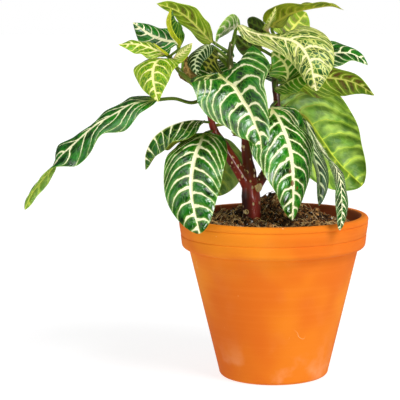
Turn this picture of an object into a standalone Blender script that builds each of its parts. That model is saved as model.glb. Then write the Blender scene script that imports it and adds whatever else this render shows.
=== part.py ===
# Potted zebra plant: a clay pot, its soil, a forked woody stem and 36 striped leaves
#
# Frame: the pot's axis is x = y = 0, its base stands on z = 0, +Z is up and the front faces -Y.
# All sizes below are in millimetres. MM turns them into metres.

import math

import bmesh
import bpy
from mathutils import Matrix, Vector
from mathutils.geometry import interpolate_bezier

MM = 0.001
SHARP_DEGREES = 35

# Pot
POT_HEIGHT = 154
RIM_RADIUS = 90
BAND_HEIGHT = 31
BODY_TOP_RADIUS = 80.3
BASE_RADIUS = 52.4
LIP_RADIUS = 82
LIP_HEIGHT = POT_HEIGHT - 2.8
FLOOR_THICKNESS = 9
FLOOR_RADIUS = 44.5
GROOVE_DEPTH = 0.7
DRAIN_HOLE_RADIUS = 6
DRAIN_HOLE_RING = 22
DRAIN_HOLES = 3
TURN_STEPS = 48

# Soil
SOIL_LEVEL = 144
SOIL_MOUND = 3.5
SOIL_HEAP = 19
SOIL_HEAP_RADIUS = 34
SOIL_HEAP_PLACE = (2, 37)
SOIL_TILT = 0.035
SOIL_GAP = 0.45

# Stem
TRUNK_ROOT = 104
TRUNK_RADIUS = 8.5
STEM_SIDES = 12
ROOT_HOLE_GAP = 0.35

# Leaves
BLADE_THICKNESS = 0.6
KEEL_THICKNESS = 1.3
STALK_HALF_WIDTH = 1.5
STALK_GAP = 0.5
VEIN_SWEEP = 0.14


def start_empty():
    for obj in list(bpy.data.objects):
        bpy.data.objects.remove(obj)


def new_collection(name):
    collection = bpy.data.collections.new(name)
    bpy.context.scene.collection.children.link(collection)
    return collection


def new_material(name, colour, roughness):
    """A dull or glossy coat of one colour, given as linear red, green and blue."""
    material = bpy.data.materials.new(name)
    material.use_nodes = True
    principled = material.node_tree.nodes["Principled BSDF"]
    principled.inputs["Base Color"].default_value = (*colour, 1)
    principled.inputs["Roughness"].default_value = roughness
    principled.inputs["Metallic"].default_value = 0
    material.diffuse_color = (*colour, 1)
    return material


def add_object(name, mesh_builder, material=None):
    """Ends a bmesh as one object at the origin, with outward normals. Without a material it is a helper."""
    bmesh.ops.recalc_face_normals(mesh_builder, faces=mesh_builder.faces[:])
    mesh = bpy.data.meshes.new(name)
    mesh_builder.to_mesh(mesh)
    mesh_builder.free()
    mesh.shade_smooth()
    mesh.set_sharp_from_angle(angle=math.radians(SHARP_DEGREES))
    obj = bpy.data.objects.new(name, mesh)
    if material:
        mesh.materials.append(material)
        pieces.objects.link(obj)
    else:
        obj.hide_render = True
        obj.display_type = "WIRE"
        helpers.objects.link(obj)
    return obj


def boolean(target, tool, operation):
    modifier = target.modifiers.new(f"{operation.lower()}_{tool.name}", "BOOLEAN")
    modifier.operation = operation
    modifier.solver = "EXACT"
    modifier.object = tool


def turned(name, profile, material):
    """Turns a profile of (radius, height), which starts and ends on the axis, into a closed solid."""
    bm = bmesh.new()
    corners = [bm.verts.new((radius * MM, 0, height * MM)) for radius, height in profile]
    edges = [bm.edges.new(pair) for pair in zip(corners, corners[1:])]
    bmesh.ops.spin(
        bm,
        geom=corners + edges,
        cent=(0, 0, 0),
        axis=(0, 0, 1),
        angle=math.tau,
        steps=TURN_STEPS,
        use_merge=True,
    )
    bmesh.ops.remove_doubles(bm, verts=bm.verts[:], dist=0.001 * MM)
    return add_object(name, bm, material)


def cylinder(name, radius, low, high, x, y, sides):
    """An upright helper that cuts a hole."""
    bm = bmesh.new()
    bmesh.ops.create_cone(
        bm,
        cap_ends=True,
        segments=sides,
        radius1=radius * MM,
        radius2=radius * MM,
        depth=(high - low) * MM,
        matrix=Matrix.Translation(Vector((x, y, (low + high) / 2)) * MM),
    )
    return add_object(name, bm)


class Line:
    """A smooth line through points, with an upper direction carried both ways from the point level_at."""

    STEPS = 12

    def __init__(self, points, up=(0, 0, 1), level_at=0):
        places = [Vector(point) for point in points]
        last = len(places) - 1
        ways = self.ways_at(places)
        self.places = []
        for i in range(last):
            reach = (places[i + 1] - places[i]).length / 3
            leave = places[i] + ways[i] * reach
            arrive = places[i + 1] - ways[i + 1] * reach
            stretch = interpolate_bezier(places[i], leave, arrive, places[i + 1], self.STEPS + 1)
            self.places += stretch[:-1]
        self.places.append(places[last])
        self.distances = [0.0]
        for before, after in zip(self.places, self.places[1:]):
            self.distances.append(self.distances[-1] + (after - before).length)
        self.length = self.distances[-1]
        count = len(self.places) - 1
        self.ways = self.ways_at(self.places)
        start = level_at * self.STEPS
        self.ups = [Vector(up)] * (count + 1)
        for order in (range(start, count + 1), range(start, -1, -1)):
            carried = Vector(up)
            for i in order:
                carried = (carried - self.ways[i] * carried.dot(self.ways[i])).normalized()
                self.ups[i] = carried

    @staticmethod
    def ways_at(places):
        """The way ahead at each place, from the place before it to the place after it."""
        last = len(places) - 1
        return [(places[min(i + 1, last)] - places[max(i - 1, 0)]).normalized() for i in range(last + 1)]

    def distance_of(self, index):
        """Distance along the line at a point of the list it was made from."""
        return self.distances[round(index * self.STEPS)]

    def at(self, distance):
        """Place, way ahead and upper direction at a distance along the line."""
        distance = min(max(distance, 0.0), self.length)
        i = 0
        while i < len(self.distances) - 2 and self.distances[i + 1] < distance:
            i += 1
        share = (distance - self.distances[i]) / (self.distances[i + 1] - self.distances[i])
        place = self.places[i].lerp(self.places[i + 1], share)
        way = self.ways[i].lerp(self.ways[i + 1], share).normalized()
        up = self.ups[i].lerp(self.ups[i + 1], share)
        up = (up - way * up.dot(way)).normalized()
        return place, way, up


def between(values, share):
    """Value at a share of the way along an evenly spaced list of values."""
    if len(values) == 1:
        return values[0]
    place = min(max(share, 0.0), 1.0) * (len(values) - 1)
    i = min(int(place), len(values) - 2)
    rest = place - i
    smooth = rest * rest * (3 - 2 * rest)
    return values[i] + (values[i + 1] - values[i]) * smooth


start_empty()
pieces = new_collection("potted_zebra_plant")
helpers = new_collection("helpers")
terracotta = new_material("terracotta", (0.87, 0.22, 0.021), 0.85)
potting_soil = new_material("potting_soil", (0.061, 0.032, 0.019), 0.95)
bark = new_material("bark", (0.114, 0.032, 0.013), 0.45)
leaf_green = new_material("leaf_green", (0.012, 0.17, 0.016), 0.4)

# Pot
# The band stands proud of the body, has two fine grooves and is rounded at the lip and at its lower edge.
band_low = POT_HEIGHT - BAND_HEIGHT
pot = turned(
    "pot",
    [
        (0, 0),
        (BASE_RADIUS - 5.0, 0),
        (BASE_RADIUS - 1.7, 1.3),
        (BASE_RADIUS, 4.6),
        (BODY_TOP_RADIUS, band_low - 0.6),
        (83.2, band_low),
        (85.9, band_low + 1.2),
        (87.2, band_low + 4.2),
        (88.1, POT_HEIGHT - 19.2),
        (88.1 - GROOVE_DEPTH, POT_HEIGHT - 18.3),
        (88.3, POT_HEIGHT - 17.4),
        (89.6, POT_HEIGHT - 7.0),
        (89.6 - GROOVE_DEPTH, POT_HEIGHT - 6.1),
        (RIM_RADIUS - 0.1, POT_HEIGHT - 5.2),
        (RIM_RADIUS - 0.6, POT_HEIGHT - 2.6),
        (RIM_RADIUS - 2.6, POT_HEIGHT - 0.6),
        (RIM_RADIUS - 4.4, POT_HEIGHT),
        (LIP_RADIUS + 1.3, POT_HEIGHT - 0.7),
        (LIP_RADIUS, LIP_HEIGHT),
        (FLOOR_RADIUS, FLOOR_THICKNESS),
        (0, FLOOR_THICKNESS),
    ],
    terracotta,
)
for hole in range(DRAIN_HOLES):
    turn = math.tau * hole / DRAIN_HOLES + math.pi / 2
    drill = cylinder(
        f"drill_{hole}",
        DRAIN_HOLE_RADIUS,
        -5,
        FLOOR_THICKNESS + 5,
        DRAIN_HOLE_RING * math.cos(turn),
        DRAIN_HOLE_RING * math.sin(turn),
        16,
    )
    boolean(pot, drill, "DIFFERENCE")

# Stem routes
# Points and radii along the trunk and the three branches, lowest first.
trunk_route = [
    (-20, 1, TRUNK_ROOT),
    (-20, 1, 130),
    (-20, 1, 145),
    (-21, 1, 163),
    (-22, 0, 178),
    (-22, 0, 185),
]
trunk_radii = [TRUNK_RADIUS, TRUNK_RADIUS, 8.6, 8.6, 9.8, 6.0]
branch_routes = {
    "left": [
        (-22, 0, 176),
        (-29, -2, 190),
        (-43, -6, 213),
        (-56, -10, 236),
        (-60, -9, 251),
        (-66, -6, 264),
        (-75, -2, 277),
        (-85, 1, 286),
        (-93, 4, 295),
        (-97, 6, 304),
    ],
    "middle": [
        (-22, 0, 176),
        (-23, 2, 194),
        (-25, 4, 207),
        (-26, 6, 222),
        (-25, 8, 238),
        (-29, 8, 257),
        (-35, 6, 273),
        (-39, 4, 287),
        (-41, 3, 301),
        (-40, 3, 317),
    ],
    "right": [
        (-19, 1, 176),
        (-10, 7, 189),
        (-3, 12, 204),
        (1, 14, 223),
        (3, 13, 242),
        (3, 10, 262),
        (1, 6, 281),
        (3, 3, 298),
        (7, 1, 316),
    ],
}
branch_radii = {
    "left": [5.6, 5.0, 4.9, 4.9, 3.3, 3.0, 2.6, 2.4, 2.3, 1.3],
    "middle": [5.4, 4.9, 4.8, 4.7, 4.6, 4.1, 3.6, 3.3, 3.0, 1.8],
    "right": [5.2, 4.4, 4.2, 4.0, 3.8, 3.4, 3.1, 2.8, 1.6],
}
branch_lines = {name: Line(route, up=(0, -1, 0)) for name, route in branch_routes.items()}


def tube(name, route, radii, sides, rows, material=None):
    """A tapered round bar along a route, rolled up from a grid and capped."""
    line = Line(route, up=(0, -1, 0))
    bm = bmesh.new()
    bmesh.ops.create_grid(bm, x_segments=rows, y_segments=sides, size=1)
    for vert in bm.verts:
        share = (vert.co.x + 1) / 2
        turn = math.pi * vert.co.y
        place, way, up = line.at(share * line.length)
        radius = between(radii, share)
        side = way.cross(up)
        vert.co = (place + (up * math.cos(turn) + side * math.sin(turn)) * radius) * MM
    bmesh.ops.remove_doubles(bm, verts=bm.verts[:], dist=0.001 * MM)
    bmesh.ops.holes_fill(bm, edges=bm.edges[:], sides=0)
    return add_object(name, bm, material)


# Stem
stem = tube("stem", trunk_route, trunk_radii, 16, 10, bark)
for name, route in branch_routes.items():
    branch = tube(f"branch_{name}", route, branch_radii[name], STEM_SIDES, 3 * (len(route) - 1))
    boolean(stem, branch, "UNION")
twig = tube("twig_stub", [(-26, 6, 223), (-33, 3, 228), (-39, 0, 229)], [1.4, 1.2, 0.9], 6, 3)
boolean(stem, twig, "UNION")

# Soil
# A turned plug with a low mound and lumps, and a plain hole in which the trunk stands.
wall_slope = (LIP_RADIUS - FLOOR_RADIUS) / (LIP_HEIGHT - FLOOR_THICKNESS)


def inner_radius(height):
    return FLOOR_RADIUS + (height - FLOOR_THICKNESS) * wall_slope - SOIL_GAP


soil_floor = FLOOR_THICKNESS + 0.4
soil = turned(
    "soil",
    [
        (0, soil_floor),
        (inner_radius(soil_floor), soil_floor),
        (inner_radius(SOIL_LEVEL - 6), SOIL_LEVEL - 6),
        (inner_radius(SOIL_LEVEL), SOIL_LEVEL),
        (68, SOIL_LEVEL),
        (54, SOIL_LEVEL),
        (40, SOIL_LEVEL),
        (26, SOIL_LEVEL),
        (13, SOIL_LEVEL),
        (0, SOIL_LEVEL),
    ],
    potting_soil,
)


def soil_height(x, y):
    """Height of the soil's top above its level: mound, tilt, lumps and the heap behind the trunk."""
    mound = SOIL_MOUND * (1 - (x * x + y * y) / 80**2)
    lumps = 1.5 * math.sin(x / 10 + 1) * math.cos(y / 9) + 1.1 * math.sin((x + y) / 6.5 + 2)
    off = math.hypot(x - SOIL_HEAP_PLACE[0], y - SOIL_HEAP_PLACE[1]) / SOIL_HEAP_RADIUS
    heap = SOIL_HEAP * math.exp(-off * off)
    return mound - SOIL_TILT * x + lumps + heap


for vert in soil.data.vertices:
    if vert.co.z > (SOIL_LEVEL - 1) * MM:
        x, y = vert.co.x / MM, vert.co.y / MM
        edge = math.hypot(x, y) > 75
        vert.co.z += soil_height(x, y) * (0.35 if edge else 1.0) * MM
root_hole = cylinder(
    "root_hole",
    TRUNK_RADIUS + ROOT_HOLE_GAP,
    TRUNK_ROOT - ROOT_HOLE_GAP,
    SOIL_LEVEL + 20,
    trunk_route[0][0],
    trunk_route[0][1],
    24,
)
boolean(soil, root_hole, "DIFFERENCE")


def leaf(
    name,
    on,
    route,
    width,
    roll=(0,),
    fold=(12, 12),
    curl=(35, 35),
    cup=0,
    face=(0, 0, 1),
    wave=(1.5, 2.5, 0.0),
    base=0.72,
    point=0.95,
    sweep=VEIN_SWEEP,
    stalk=(),
    stalk_half=STALK_HALF_WIDTH,
    rows=10,
    columns=4,
    trim=((1,), (1,)),
):
    """One leaf as a closed blade on a narrow stalk.

    on: branch and place along its points. route: blade base, points along the midrib and tip.
    roll: degrees about the midrib from base to tip, positive with the right half down.
    fold: degrees each half stands up from the midrib, left then right.
    curl: degrees each half bends down again towards its margin.
    cup: more degrees of fold at the base. face: the way the upper side looks where the blade begins.
    wave: height of the margin's waves, their number and where they start.
    base and point: under 1 for a rounder end, over 1 for a longer one.
    sweep: how far forward each row runs at the margin, as a share of the length.
    trim: shares of the width kept from base to tip, for the left half and for the right.
    """
    branch, place = on
    line = branch_lines[branch]
    centre, way, _ = line.at(line.distance_of(place))
    first = Vector(stalk[0] if stalk else route[0])
    toward = (first - centre).normalized()
    outward = (toward - way * toward.dot(way)).normalized()
    radius = between(branch_radii[branch], line.distance_of(place) / line.length)
    start = centre + outward * (radius + STALK_GAP)
    rib = Line([start, *stalk, *route], up=face, level_at=1 + len(stalk))
    blade_start = rib.distance_of(1 + len(stalk))
    blade_length = rib.length - blade_start
    widest = base / (base + point)
    stalk_rows = 2 + len(stalk)

    def half_width(share):
        """Half the blade's width at a share of its length, and the stalk's below the blade."""
        if share <= 0:
            return stalk_half
        swell = (share / widest) ** base * ((1 - share) / (1 - widest)) ** point if share < 1 else 0.0
        return width / 2 * swell + stalk_half * (1 - share) ** 3

    bm = bmesh.new()
    total = stalk_rows + rows
    bmesh.ops.create_grid(bm, x_segments=total, y_segments=columns, size=1)
    across = bm.verts.layers.float.new("across")
    along = bm.verts.layers.float.new("along")
    number = bm.verts.layers.int.new("number")
    for vert in bm.verts:
        row = round((vert.co.x + 1) / 2 * total) - stalk_rows
        v = vert.co.y
        q = abs(v)
        if row < 0:
            share = 0.0
            distance = blade_start * (1 + row / stalk_rows)
        else:
            share = row / rows
            share += sweep * math.sin(math.pi * share) ** 0.8 * q**1.6 if 0 < row < rows else 0.0
            distance = blade_start + share * blade_length
        point_at, way, up = rib.at(distance)
        turn = math.radians(between(roll, share))
        side = way.cross(up)
        upper = up * math.cos(turn) + side * math.sin(turn)
        side = way.cross(upper)
        hand = 1 if v > 0 else 0
        spread = min(1.0, share * 6)
        angle = math.radians(fold[hand] + cup * (1 - share) ** 3 - curl[hand] * q / 2) * spread
        reach = half_width(share) * between(trim[hand], share) * q
        height, waves, phase = wave
        crest = math.sin(math.tau * (waves * share + phase + 0.35 * hand))
        ripple = height * q * q * crest * math.sin(math.pi * share)
        lateral = reach * math.cos(angle) * (1 if v > 0 else -1)
        vert.co = (point_at + side * lateral + upper * (reach * math.sin(angle) + ripple)) * MM
        vert[across] = v
        vert[along] = share if row >= 0 else (-2.0 if row == -stalk_rows else -1.0)
    tip = [vert for vert in bm.verts if vert[along] > 0.999]
    bmesh.ops.pointmerge(bm, verts=tip, merge_co=rib.at(rib.length)[0] * MM)
    bmesh.ops.triangulate(bm, faces=bm.faces[:])
    bm.normal_update()
    if sum((face.normal.dot(rib.at(blade_start)[2]) for face in bm.faces)) < 0:
        bmesh.ops.reverse_faces(bm, faces=bm.faces[:])
    bm.normal_update()
    places = []
    for i, vert in enumerate(bm.verts):
        vert[number] = i
        keel = (1 - abs(vert[across])) ** 3 * (1 - max(vert[along], 0.0))
        thick = BLADE_THICKNESS + KEEL_THICKNESS * (keel if vert[along] >= 0 else 1.0)
        places.append(vert.co - vert.normal * thick * MM)
    grown = bmesh.ops.extrude_face_region(bm, geom=bm.faces[:])
    for item in grown["geom"]:
        if isinstance(item, bmesh.types.BMVert):
            item.co = places[item[number]]
    # The stalk's end face is trimmed parallel to the bark and stands clear of it.
    leave = rib.at(0.0)[1]
    slope = max(leave.dot(outward), 0.4)
    for vert in bm.verts:
        if vert[along] < -1.5:
            vert.co -= leave * ((vert.co - start * MM).dot(outward) / slope)
    return add_object(name, bm, leaf_green)


# Leaves of the left branch, lowest first
leaf(
    "leaf_left_1",
    on=("left", 3.0),
    route=[
        (-64, -22, 233),
        (-67, -36, 225),
        (-71, -52, 215),
        (-74, -66, 196),
        (-73, -74, 177),
        (-66, -82, 148),
    ],
    width=58,
    fold=(14, 14),
    curl=(40, 40),
    wave=(1.5, 2.5, 0.1),
    base=0.42,
    point=0.6,
    rows=14,
    columns=6,
)
leaf(
    "leaf_left_2",
    on=("left", 3.05),
    route=[(-55, 8, 227), (-48, 24, 200), (-55, 34, 167)],
    width=44,
    roll=(0, 10),
    base=0.5,
    point=0.7,
)
leaf(
    "leaf_left_3",
    on=("left", 3.5),
    route=[
        (-65, -16, 244),
        (-75, -20, 245),
        (-88, -26, 243),
        (-102, -30, 237),
        (-112, -34, 228),
        (-118, -36, 214),
        (-118, -38, 200),
    ],
    width=44,
    roll=(0, 0),
    fold=(-30, -62),
    curl=(10, 10),
    rows=12,
    columns=6,
    base=0.55,
    point=0.8,
)
leaf(
    "leaf_left_4",
    on=("left", 3.2),
    route=[(-39, 0, 240), (-32, -6, 236), (-26, -10, 226)],
    width=16,
    roll=(60, 60),
    rows=6,
)
leaf(
    "leaf_left_5",
    on=("left", 5.0),
    stalk=[(-77, -9, 261), (-92, -12, 265)],
    route=[
        (-108, -14, 264),
        (-119, -15, 262),
        (-131, -18, 260),
        (-145, -20, 252),
        (-154, -22, 247),
        (-164, -24, 241),
        (-175, -26, 232),
        (-186, -28, 222),
        (-197, -30, 212),
        (-207, -32, 199),
        (-217, -34, 187),
        (-224, -35, 177),
        (-230, -36, 163),
    ],
    width=46,
    stalk_half=2.8,
    roll=(-24, -22, -24, -26, -6, 38),
    fold=(0, 0),
    curl=(30, 30),
    wave=(2.5, 3.0, 0.0),
    trim=((0.9, 1.0, 1.15, 0.75, 0.95, 1.0, 0.8, 0.55, 1.2), (0.7, 1.25, 1.2, 0.5, 1.0, 1.2, 0.8, 0.5, 1.0)),
    rows=20,
    columns=6,
    base=0.6,
    point=0.8,
)
leaf(
    "leaf_left_6",
    on=("left", 6.0),
    route=[(-64, 26, 280), (-56, 50, 291), (-48, 74, 296)],
    width=46,
    fold=(20, 20),
)
leaf(
    "leaf_left_7",
    on=("left", 7.9),
    route=[(-101, -4, 301), (-108, -14, 299), (-111, -24, 290), (-110, -28, 278), (-106, -30, 262)],
    width=44,
    fold=(8, 8),
    curl=(30, 30),
    base=0.42,
    point=1.0,
    rows=11,
    columns=6,
)
leaf(
    "leaf_left_8",
    on=("left", 7.3),
    route=[(-86, 15, 297), (-81, 20, 287), (-79, 22, 276)],
    width=26,
    roll=(-80, -80),
    wave=(0.4, 1.5, 0.0),
    rows=7,
)
leaf(
    "leaf_left_9",
    on=("left", 8.1),
    route=[(-91, 20, 314), (-103, 26, 317), (-115, 30, 321), (-125, 32, 327), (-134, 30, 334)],
    width=32,
    roll=(-32, -32),
    fold=(0, 0),
    rows=9,
    base=0.55,
)
leaf(
    "leaf_left_10",
    on=("left", 8.6),
    route=[(-101, 5, 305), (-114, 4, 310), (-127, 2, 314), (-145, 0, 314)],
    width=26,
    roll=(-28, -30),
    fold=(5, 5),
    rows=9,
)
leaf(
    "leaf_left_11",
    on=("left", 8.8),
    route=[(-87, 2, 312), (-95, -3, 323), (-99, -6, 335), (-95, -8, 348)],
    width=24,
    face=(1, -0.2, 0),
    fold=(29, 72),
    curl=(10, 10),
    wave=(0.5, 1.5, 0.0),
    rows=8,
)
leaf(
    "leaf_left_12",
    on=("left", 8.4),
    route=[(-93, -8, 302), (-83, -14, 308), (-75, -16, 316)],
    width=26,
    face=(0, -5, 4),
    wave=(0.3, 1.5, 0.0),
    rows=7,
)
leaf(
    "leaf_left_13",
    on=("left", 9.0),
    route=[(-99, -9, 306), (-104, -14, 310), (-111, -17, 316)],
    width=6,
    roll=(-30, -30),
    fold=(30, 30),
    wave=(0.2, 1.5, 0.0),
    rows=5,
)
# Leaves of the middle branch
leaf(
    "leaf_middle_1",
    on=("middle", 5.0),
    route=[(-30, 26, 268), (-36, 58, 270), (-42, 90, 250)],
    width=46,
)
leaf(
    "leaf_middle_2",
    on=("middle", 6.8),
    route=[
        (-50, -12, 287),
        (-44, -24, 281),
        (-35, -36, 275),
        (-28, -48, 265),
        (-21, -58, 255),
        (-16, -64, 243),
        (-12, -67, 233),
        (-11, -68, 222),
    ],
    width=78,
    roll=(8, 33, 20),
    fold=(28, 22),
    curl=(20, 20),
    cup=28,
    wave=(2.5, 2.0, 0.0),
    trim=((1.05, 1.05, 1.05, 1.1, 0.75, 0.65, 0.7, 1.0), (1.0,)),
    base=0.3,
    point=0.8,
    sweep=0.0,
    rows=14,
    columns=6,
)
leaf(
    "leaf_middle_3",
    on=("middle", 7.5),
    route=[(-52, 3, 302), (-58, 4, 298), (-64, 4, 290)],
    width=26,
    roll=(-60, -60),
    wave=(0.5, 1.5, 0.0),
    rows=7,
)
leaf(
    "leaf_middle_4",
    on=("middle", 8.1),
    route=[(-58, -6, 314), (-66, -14, 309), (-72, -20, 300), (-71, -24, 287)],
    width=26,
    wave=(0.5, 1.5, 0.0),
    rows=8,
)
leaf(
    "leaf_middle_5",
    on=("middle", 8.4),
    route=[
        (-57, 6, 317),
        (-66, 10, 325),
        (-76, 12, 335),
        (-86, 12, 343),
        (-96, 12, 348),
        (-110, 12, 352),
    ],
    width=34,
    roll=(50, 48),
    fold=(10, 10),
    curl=(10, 10),
    rows=11,
    base=0.55,
    point=0.9,
)
leaf(
    "leaf_middle_6",
    on=("middle", 8.2),
    route=[(-38, 12, 325), (-44, 4, 327), (-50, -4, 323), (-54, -8, 314)],
    width=27,
    face=(0, -5, 4),
    fold=(6, 6),
    wave=(0.4, 1.5, 0.0),
    rows=8,
)
leaf(
    "leaf_middle_7",
    on=("middle", 8.9),
    route=[
        (-33, -12, 331),
        (-22, -17, 326),
        (-7, -24, 323),
        (7, -31, 321),
        (19, -37, 318),
        (27, -43, 311),
        (33, -49, 300),
        (36, -53, 287),
        (39, -56, 274),
    ],
    width=58,
    roll=(18, 24, 46, 62, 75),
    fold=(-18, -14),
    curl=(5, 5),
    wave=(1.5, 2.0, 0.2),
    trim=((0.5, 0.6, 0.95, 1.1, 1.1, 1.0), (0.6, 0.55, 0.55, 0.6, 0.7, 0.9)),
    base=0.6,
    point=0.75,
    rows=14,
    columns=6,
)
leaf(
    "leaf_middle_8",
    on=("middle", 7.4),
    route=[(-46, 24, 300), (-60, 50, 306), (-76, 78, 300)],
    width=38,
)
# Leaves of the right branch
leaf(
    "leaf_right_1",
    on=("right", 4.0),
    route=[(2, 22, 253), (16, 32, 251), (31, 40, 243), (45, 46, 223), (63, 50, 198), (87, 52, 175)],
    width=78,
    roll=(-70, -85, -85),
    fold=(8, 8),
    rows=12,
    columns=6,
    base=0.42,
    point=0.6,
)
leaf(
    "leaf_right_2",
    on=("right", 3.8),
    route=[(28, 8, 243), (36, 6, 214), (43, 3, 191), (43, 0, 162)],
    width=20,
    roll=(30, 30),
    fold=(45, 45),
    wave=(0.5, 1.5, 0.0),
    rows=9,
    base=1.0,
    point=0.7,
)
leaf(
    "leaf_right_3",
    on=("right", 4.4),
    route=[
        (28, -2, 245),
        (34, -15, 236),
        (40, -29, 226),
        (47, -42, 215),
        (55, -54, 206),
        (60, -65, 194),
        (61, -74, 179),
        (61, -80, 164),
        (59, -82, 151),
    ],
    width=19,
    roll=(-50, -50, -40),
    fold=(24, 24),
    wave=(1.2, 4.0, 0.0),
    base=0.9,
    point=0.55,
    rows=14,
)
leaf(
    "leaf_right_4",
    on=("right", 5.0),
    route=[
        (-2, -18, 256),
        (4, -28, 248),
        (9, -36, 238),
        (14, -42, 224),
        (17, -46, 206),
        (18, -48, 183),
        (17, -50, 155),
    ],
    width=74,
    roll=(10, 10),
    fold=(-32, 20),
    curl=(20, 20),
    wave=(2.0, 2.5, 0.3),
    trim=((1.0, 1.0, 1.0, 0.95, 0.8, 0.85), (1.0, 1.0, 1.0, 0.9, 0.75, 0.85)),
    base=0.45,
    point=0.8,
    rows=14,
    columns=6,
)
leaf(
    "leaf_right_5",
    on=("right", 5.5),
    route=[(8, 28, 276), (12, 52, 290), (16, 76, 297)],
    width=50,
    fold=(20, 20),
)
leaf(
    "leaf_right_6",
    on=("right", 5.8),
    route=[(17, 14, 280), (34, 14, 283), (53, 13, 283), (72, 10, 280), (85, 8, 274), (95, 6, 266)],
    width=42,
    roll=(-54, -54),
    fold=(-8, -8),
    curl=(20, 20),
    rows=11,
    columns=6,
    base=0.55,
)
leaf(
    "leaf_right_7",
    on=("right", 6.0),
    route=[(2, -8, 274), (13, -15, 280), (24, -20, 285), (41, -24, 288)],
    width=34,
    roll=(35, 35),
    fold=(-18, -14),
    curl=(20, 20),
    rows=9,
    base=0.9,
)
leaf(
    "leaf_right_8",
    on=("right", 6.8),
    route=[(21, -4, 298), (38, -7, 304), (56, -8, 306), (71, -8, 306), (80, -8, 302), (88, -9, 295)],
    width=50,
    roll=(30, 30),
    fold=(17, 17),
    rows=11,
    columns=6,
    base=0.5,
    point=1.0,
)
leaf(
    "leaf_right_9",
    on=("right", 6.6),
    route=[(11, -8, 282), (13, -15, 289), (9, -21, 299), (-2, -24, 308)],
    width=25,
    roll=(0, 0),
    fold=(20, 20),
    wave=(0.5, 1.5, 0.0),
    rows=8,
)
leaf(
    "leaf_right_10",
    on=("right", 7.2),
    route=[(-11, 6, 309), (-22, 9, 311), (-30, 11, 316), (-35, 10, 323)],
    width=20,
    roll=(80, 80),
    wave=(0.5, 1.5, 0.0),
    rows=7,
)
leaf(
    "leaf_right_11",
    on=("right", 7.3),
    route=[(18, 24, 306), (36, 50, 312), (54, 76, 300)],
    width=42,
)
leaf(
    "leaf_right_12",
    on=("right", 7.7),
    route=[(12, 27, 319), (18, 33, 328), (24, 36, 335), (31, 36, 344)],
    width=40,
    face=(0, -5, 1),
    fold=(0, -30),
    curl=(10, 10),
    rows=8,
    base=0.42,
    point=0.8,
)
leaf(
    "leaf_right_13",
    on=("right", 7.9),
    route=[
        (-2, 10, 330),
        (10, 4, 340),
        (18, -1, 344),
        (29, -4, 347),
        (41, -6, 349),
        (54, -7, 350),
        (65, -8, 346),
    ],
    width=36,
    face=(-4, 8, 5),
    roll=(0, 24, 30),
    fold=(46, 16),
    curl=(20, 20),
    rows=10,
    base=0.42,
    point=1.1,
)
leaf(
    "leaf_right_14",
    on=("right", 7.3),
    route=[(-6, 14, 326), (-15, 20, 331), (-25, 24, 336)],
    width=24,
    roll=(60, 60),
    wave=(0.3, 1.5, 0.0),
    rows=7,
    base=0.6,
    point=0.6,
)
leaf(
    "leaf_right_15",
    on=("right", 7.6),
    route=[(-6, 5, 327), (-3, -12, 337), (2, -22, 349)],
    width=13,
    roll=(60, 60),
    wave=(0.3, 1.5, 0.0),
    rows=6,
)
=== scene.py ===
# %% [markdown]
# # A potted zebra plant
# The plant is built in the order in which it would be planted. First comes the clay pot, then the soil,
# then the forked stem, and last the leaves with their cream veins. The plain solids of the frame say where
# each piece sits. Every piece made here stands for one of them and keeps its form, with a much finer
# surface.

# %% Tools and the frame
import math
import random

import bmesh
import bpy
from mathutils import Matrix, Vector, noise
from mathutils.geometry import interpolate_bezier


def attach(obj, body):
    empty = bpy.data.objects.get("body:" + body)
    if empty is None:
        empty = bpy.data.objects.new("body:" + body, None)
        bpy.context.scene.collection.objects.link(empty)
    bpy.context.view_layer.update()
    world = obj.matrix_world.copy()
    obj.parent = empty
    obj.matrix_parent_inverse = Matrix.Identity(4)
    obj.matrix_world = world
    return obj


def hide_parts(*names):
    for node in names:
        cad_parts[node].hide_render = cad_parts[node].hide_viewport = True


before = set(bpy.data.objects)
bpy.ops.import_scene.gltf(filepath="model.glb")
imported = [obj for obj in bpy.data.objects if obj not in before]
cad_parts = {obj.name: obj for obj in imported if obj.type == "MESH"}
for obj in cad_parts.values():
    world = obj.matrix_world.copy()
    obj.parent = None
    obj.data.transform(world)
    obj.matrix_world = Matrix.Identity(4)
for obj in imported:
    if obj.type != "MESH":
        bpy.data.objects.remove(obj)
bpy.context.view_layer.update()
MM = 0.001

# %% [markdown]
# ## Camera
# The photograph was taken from the height of the plant's top, looking slightly down, with a long lens. The
# plant stands right of the middle of the picture, so the lens is shifted sideways instead of the camera
# being turned, and the pot is seen square on.

# %% Camera
CAMERA_DISTANCE = 1.435
CAMERA_HEIGHT = 0.3564
LOOK_DOWN_DEGREES = 7.5
SENSOR_MM = 36
LENS_MM = 137.5
LENS_SHIFT = -0.184

lens = bpy.data.cameras.new("camera")
lens.sensor_width = SENSOR_MM
lens.lens = LENS_MM
lens.shift_x = LENS_SHIFT
camera = bpy.data.objects.new("camera", lens)
camera.location = (0, -CAMERA_DISTANCE, CAMERA_HEIGHT)
camera.rotation_euler = (math.radians(90 - LOOK_DOWN_DEGREES), 0, 0)
bpy.context.scene.collection.objects.link(camera)
bpy.context.scene.camera = camera
print("camera:", LENS_MM, "mm lens,", CAMERA_DISTANCE, "m away")

# %% [markdown]
# ## Helpers for materials
# A procedural material is a small sum, built from nodes. These short helpers place one node each and return
# the socket that holds its result, so that a finish can be read from top to bottom like a recipe.

# %% Node helpers


def colour(red, green, blue):
    """A screen colour of 0 to 255 as the linear colour that a shader reads."""
    shares = (part / 255 for part in (red, green, blue))
    return (*(((s + 0.055) / 1.055) ** 2.4 if s > 0.04045 else s / 12.92 for s in shares), 1)


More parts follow.
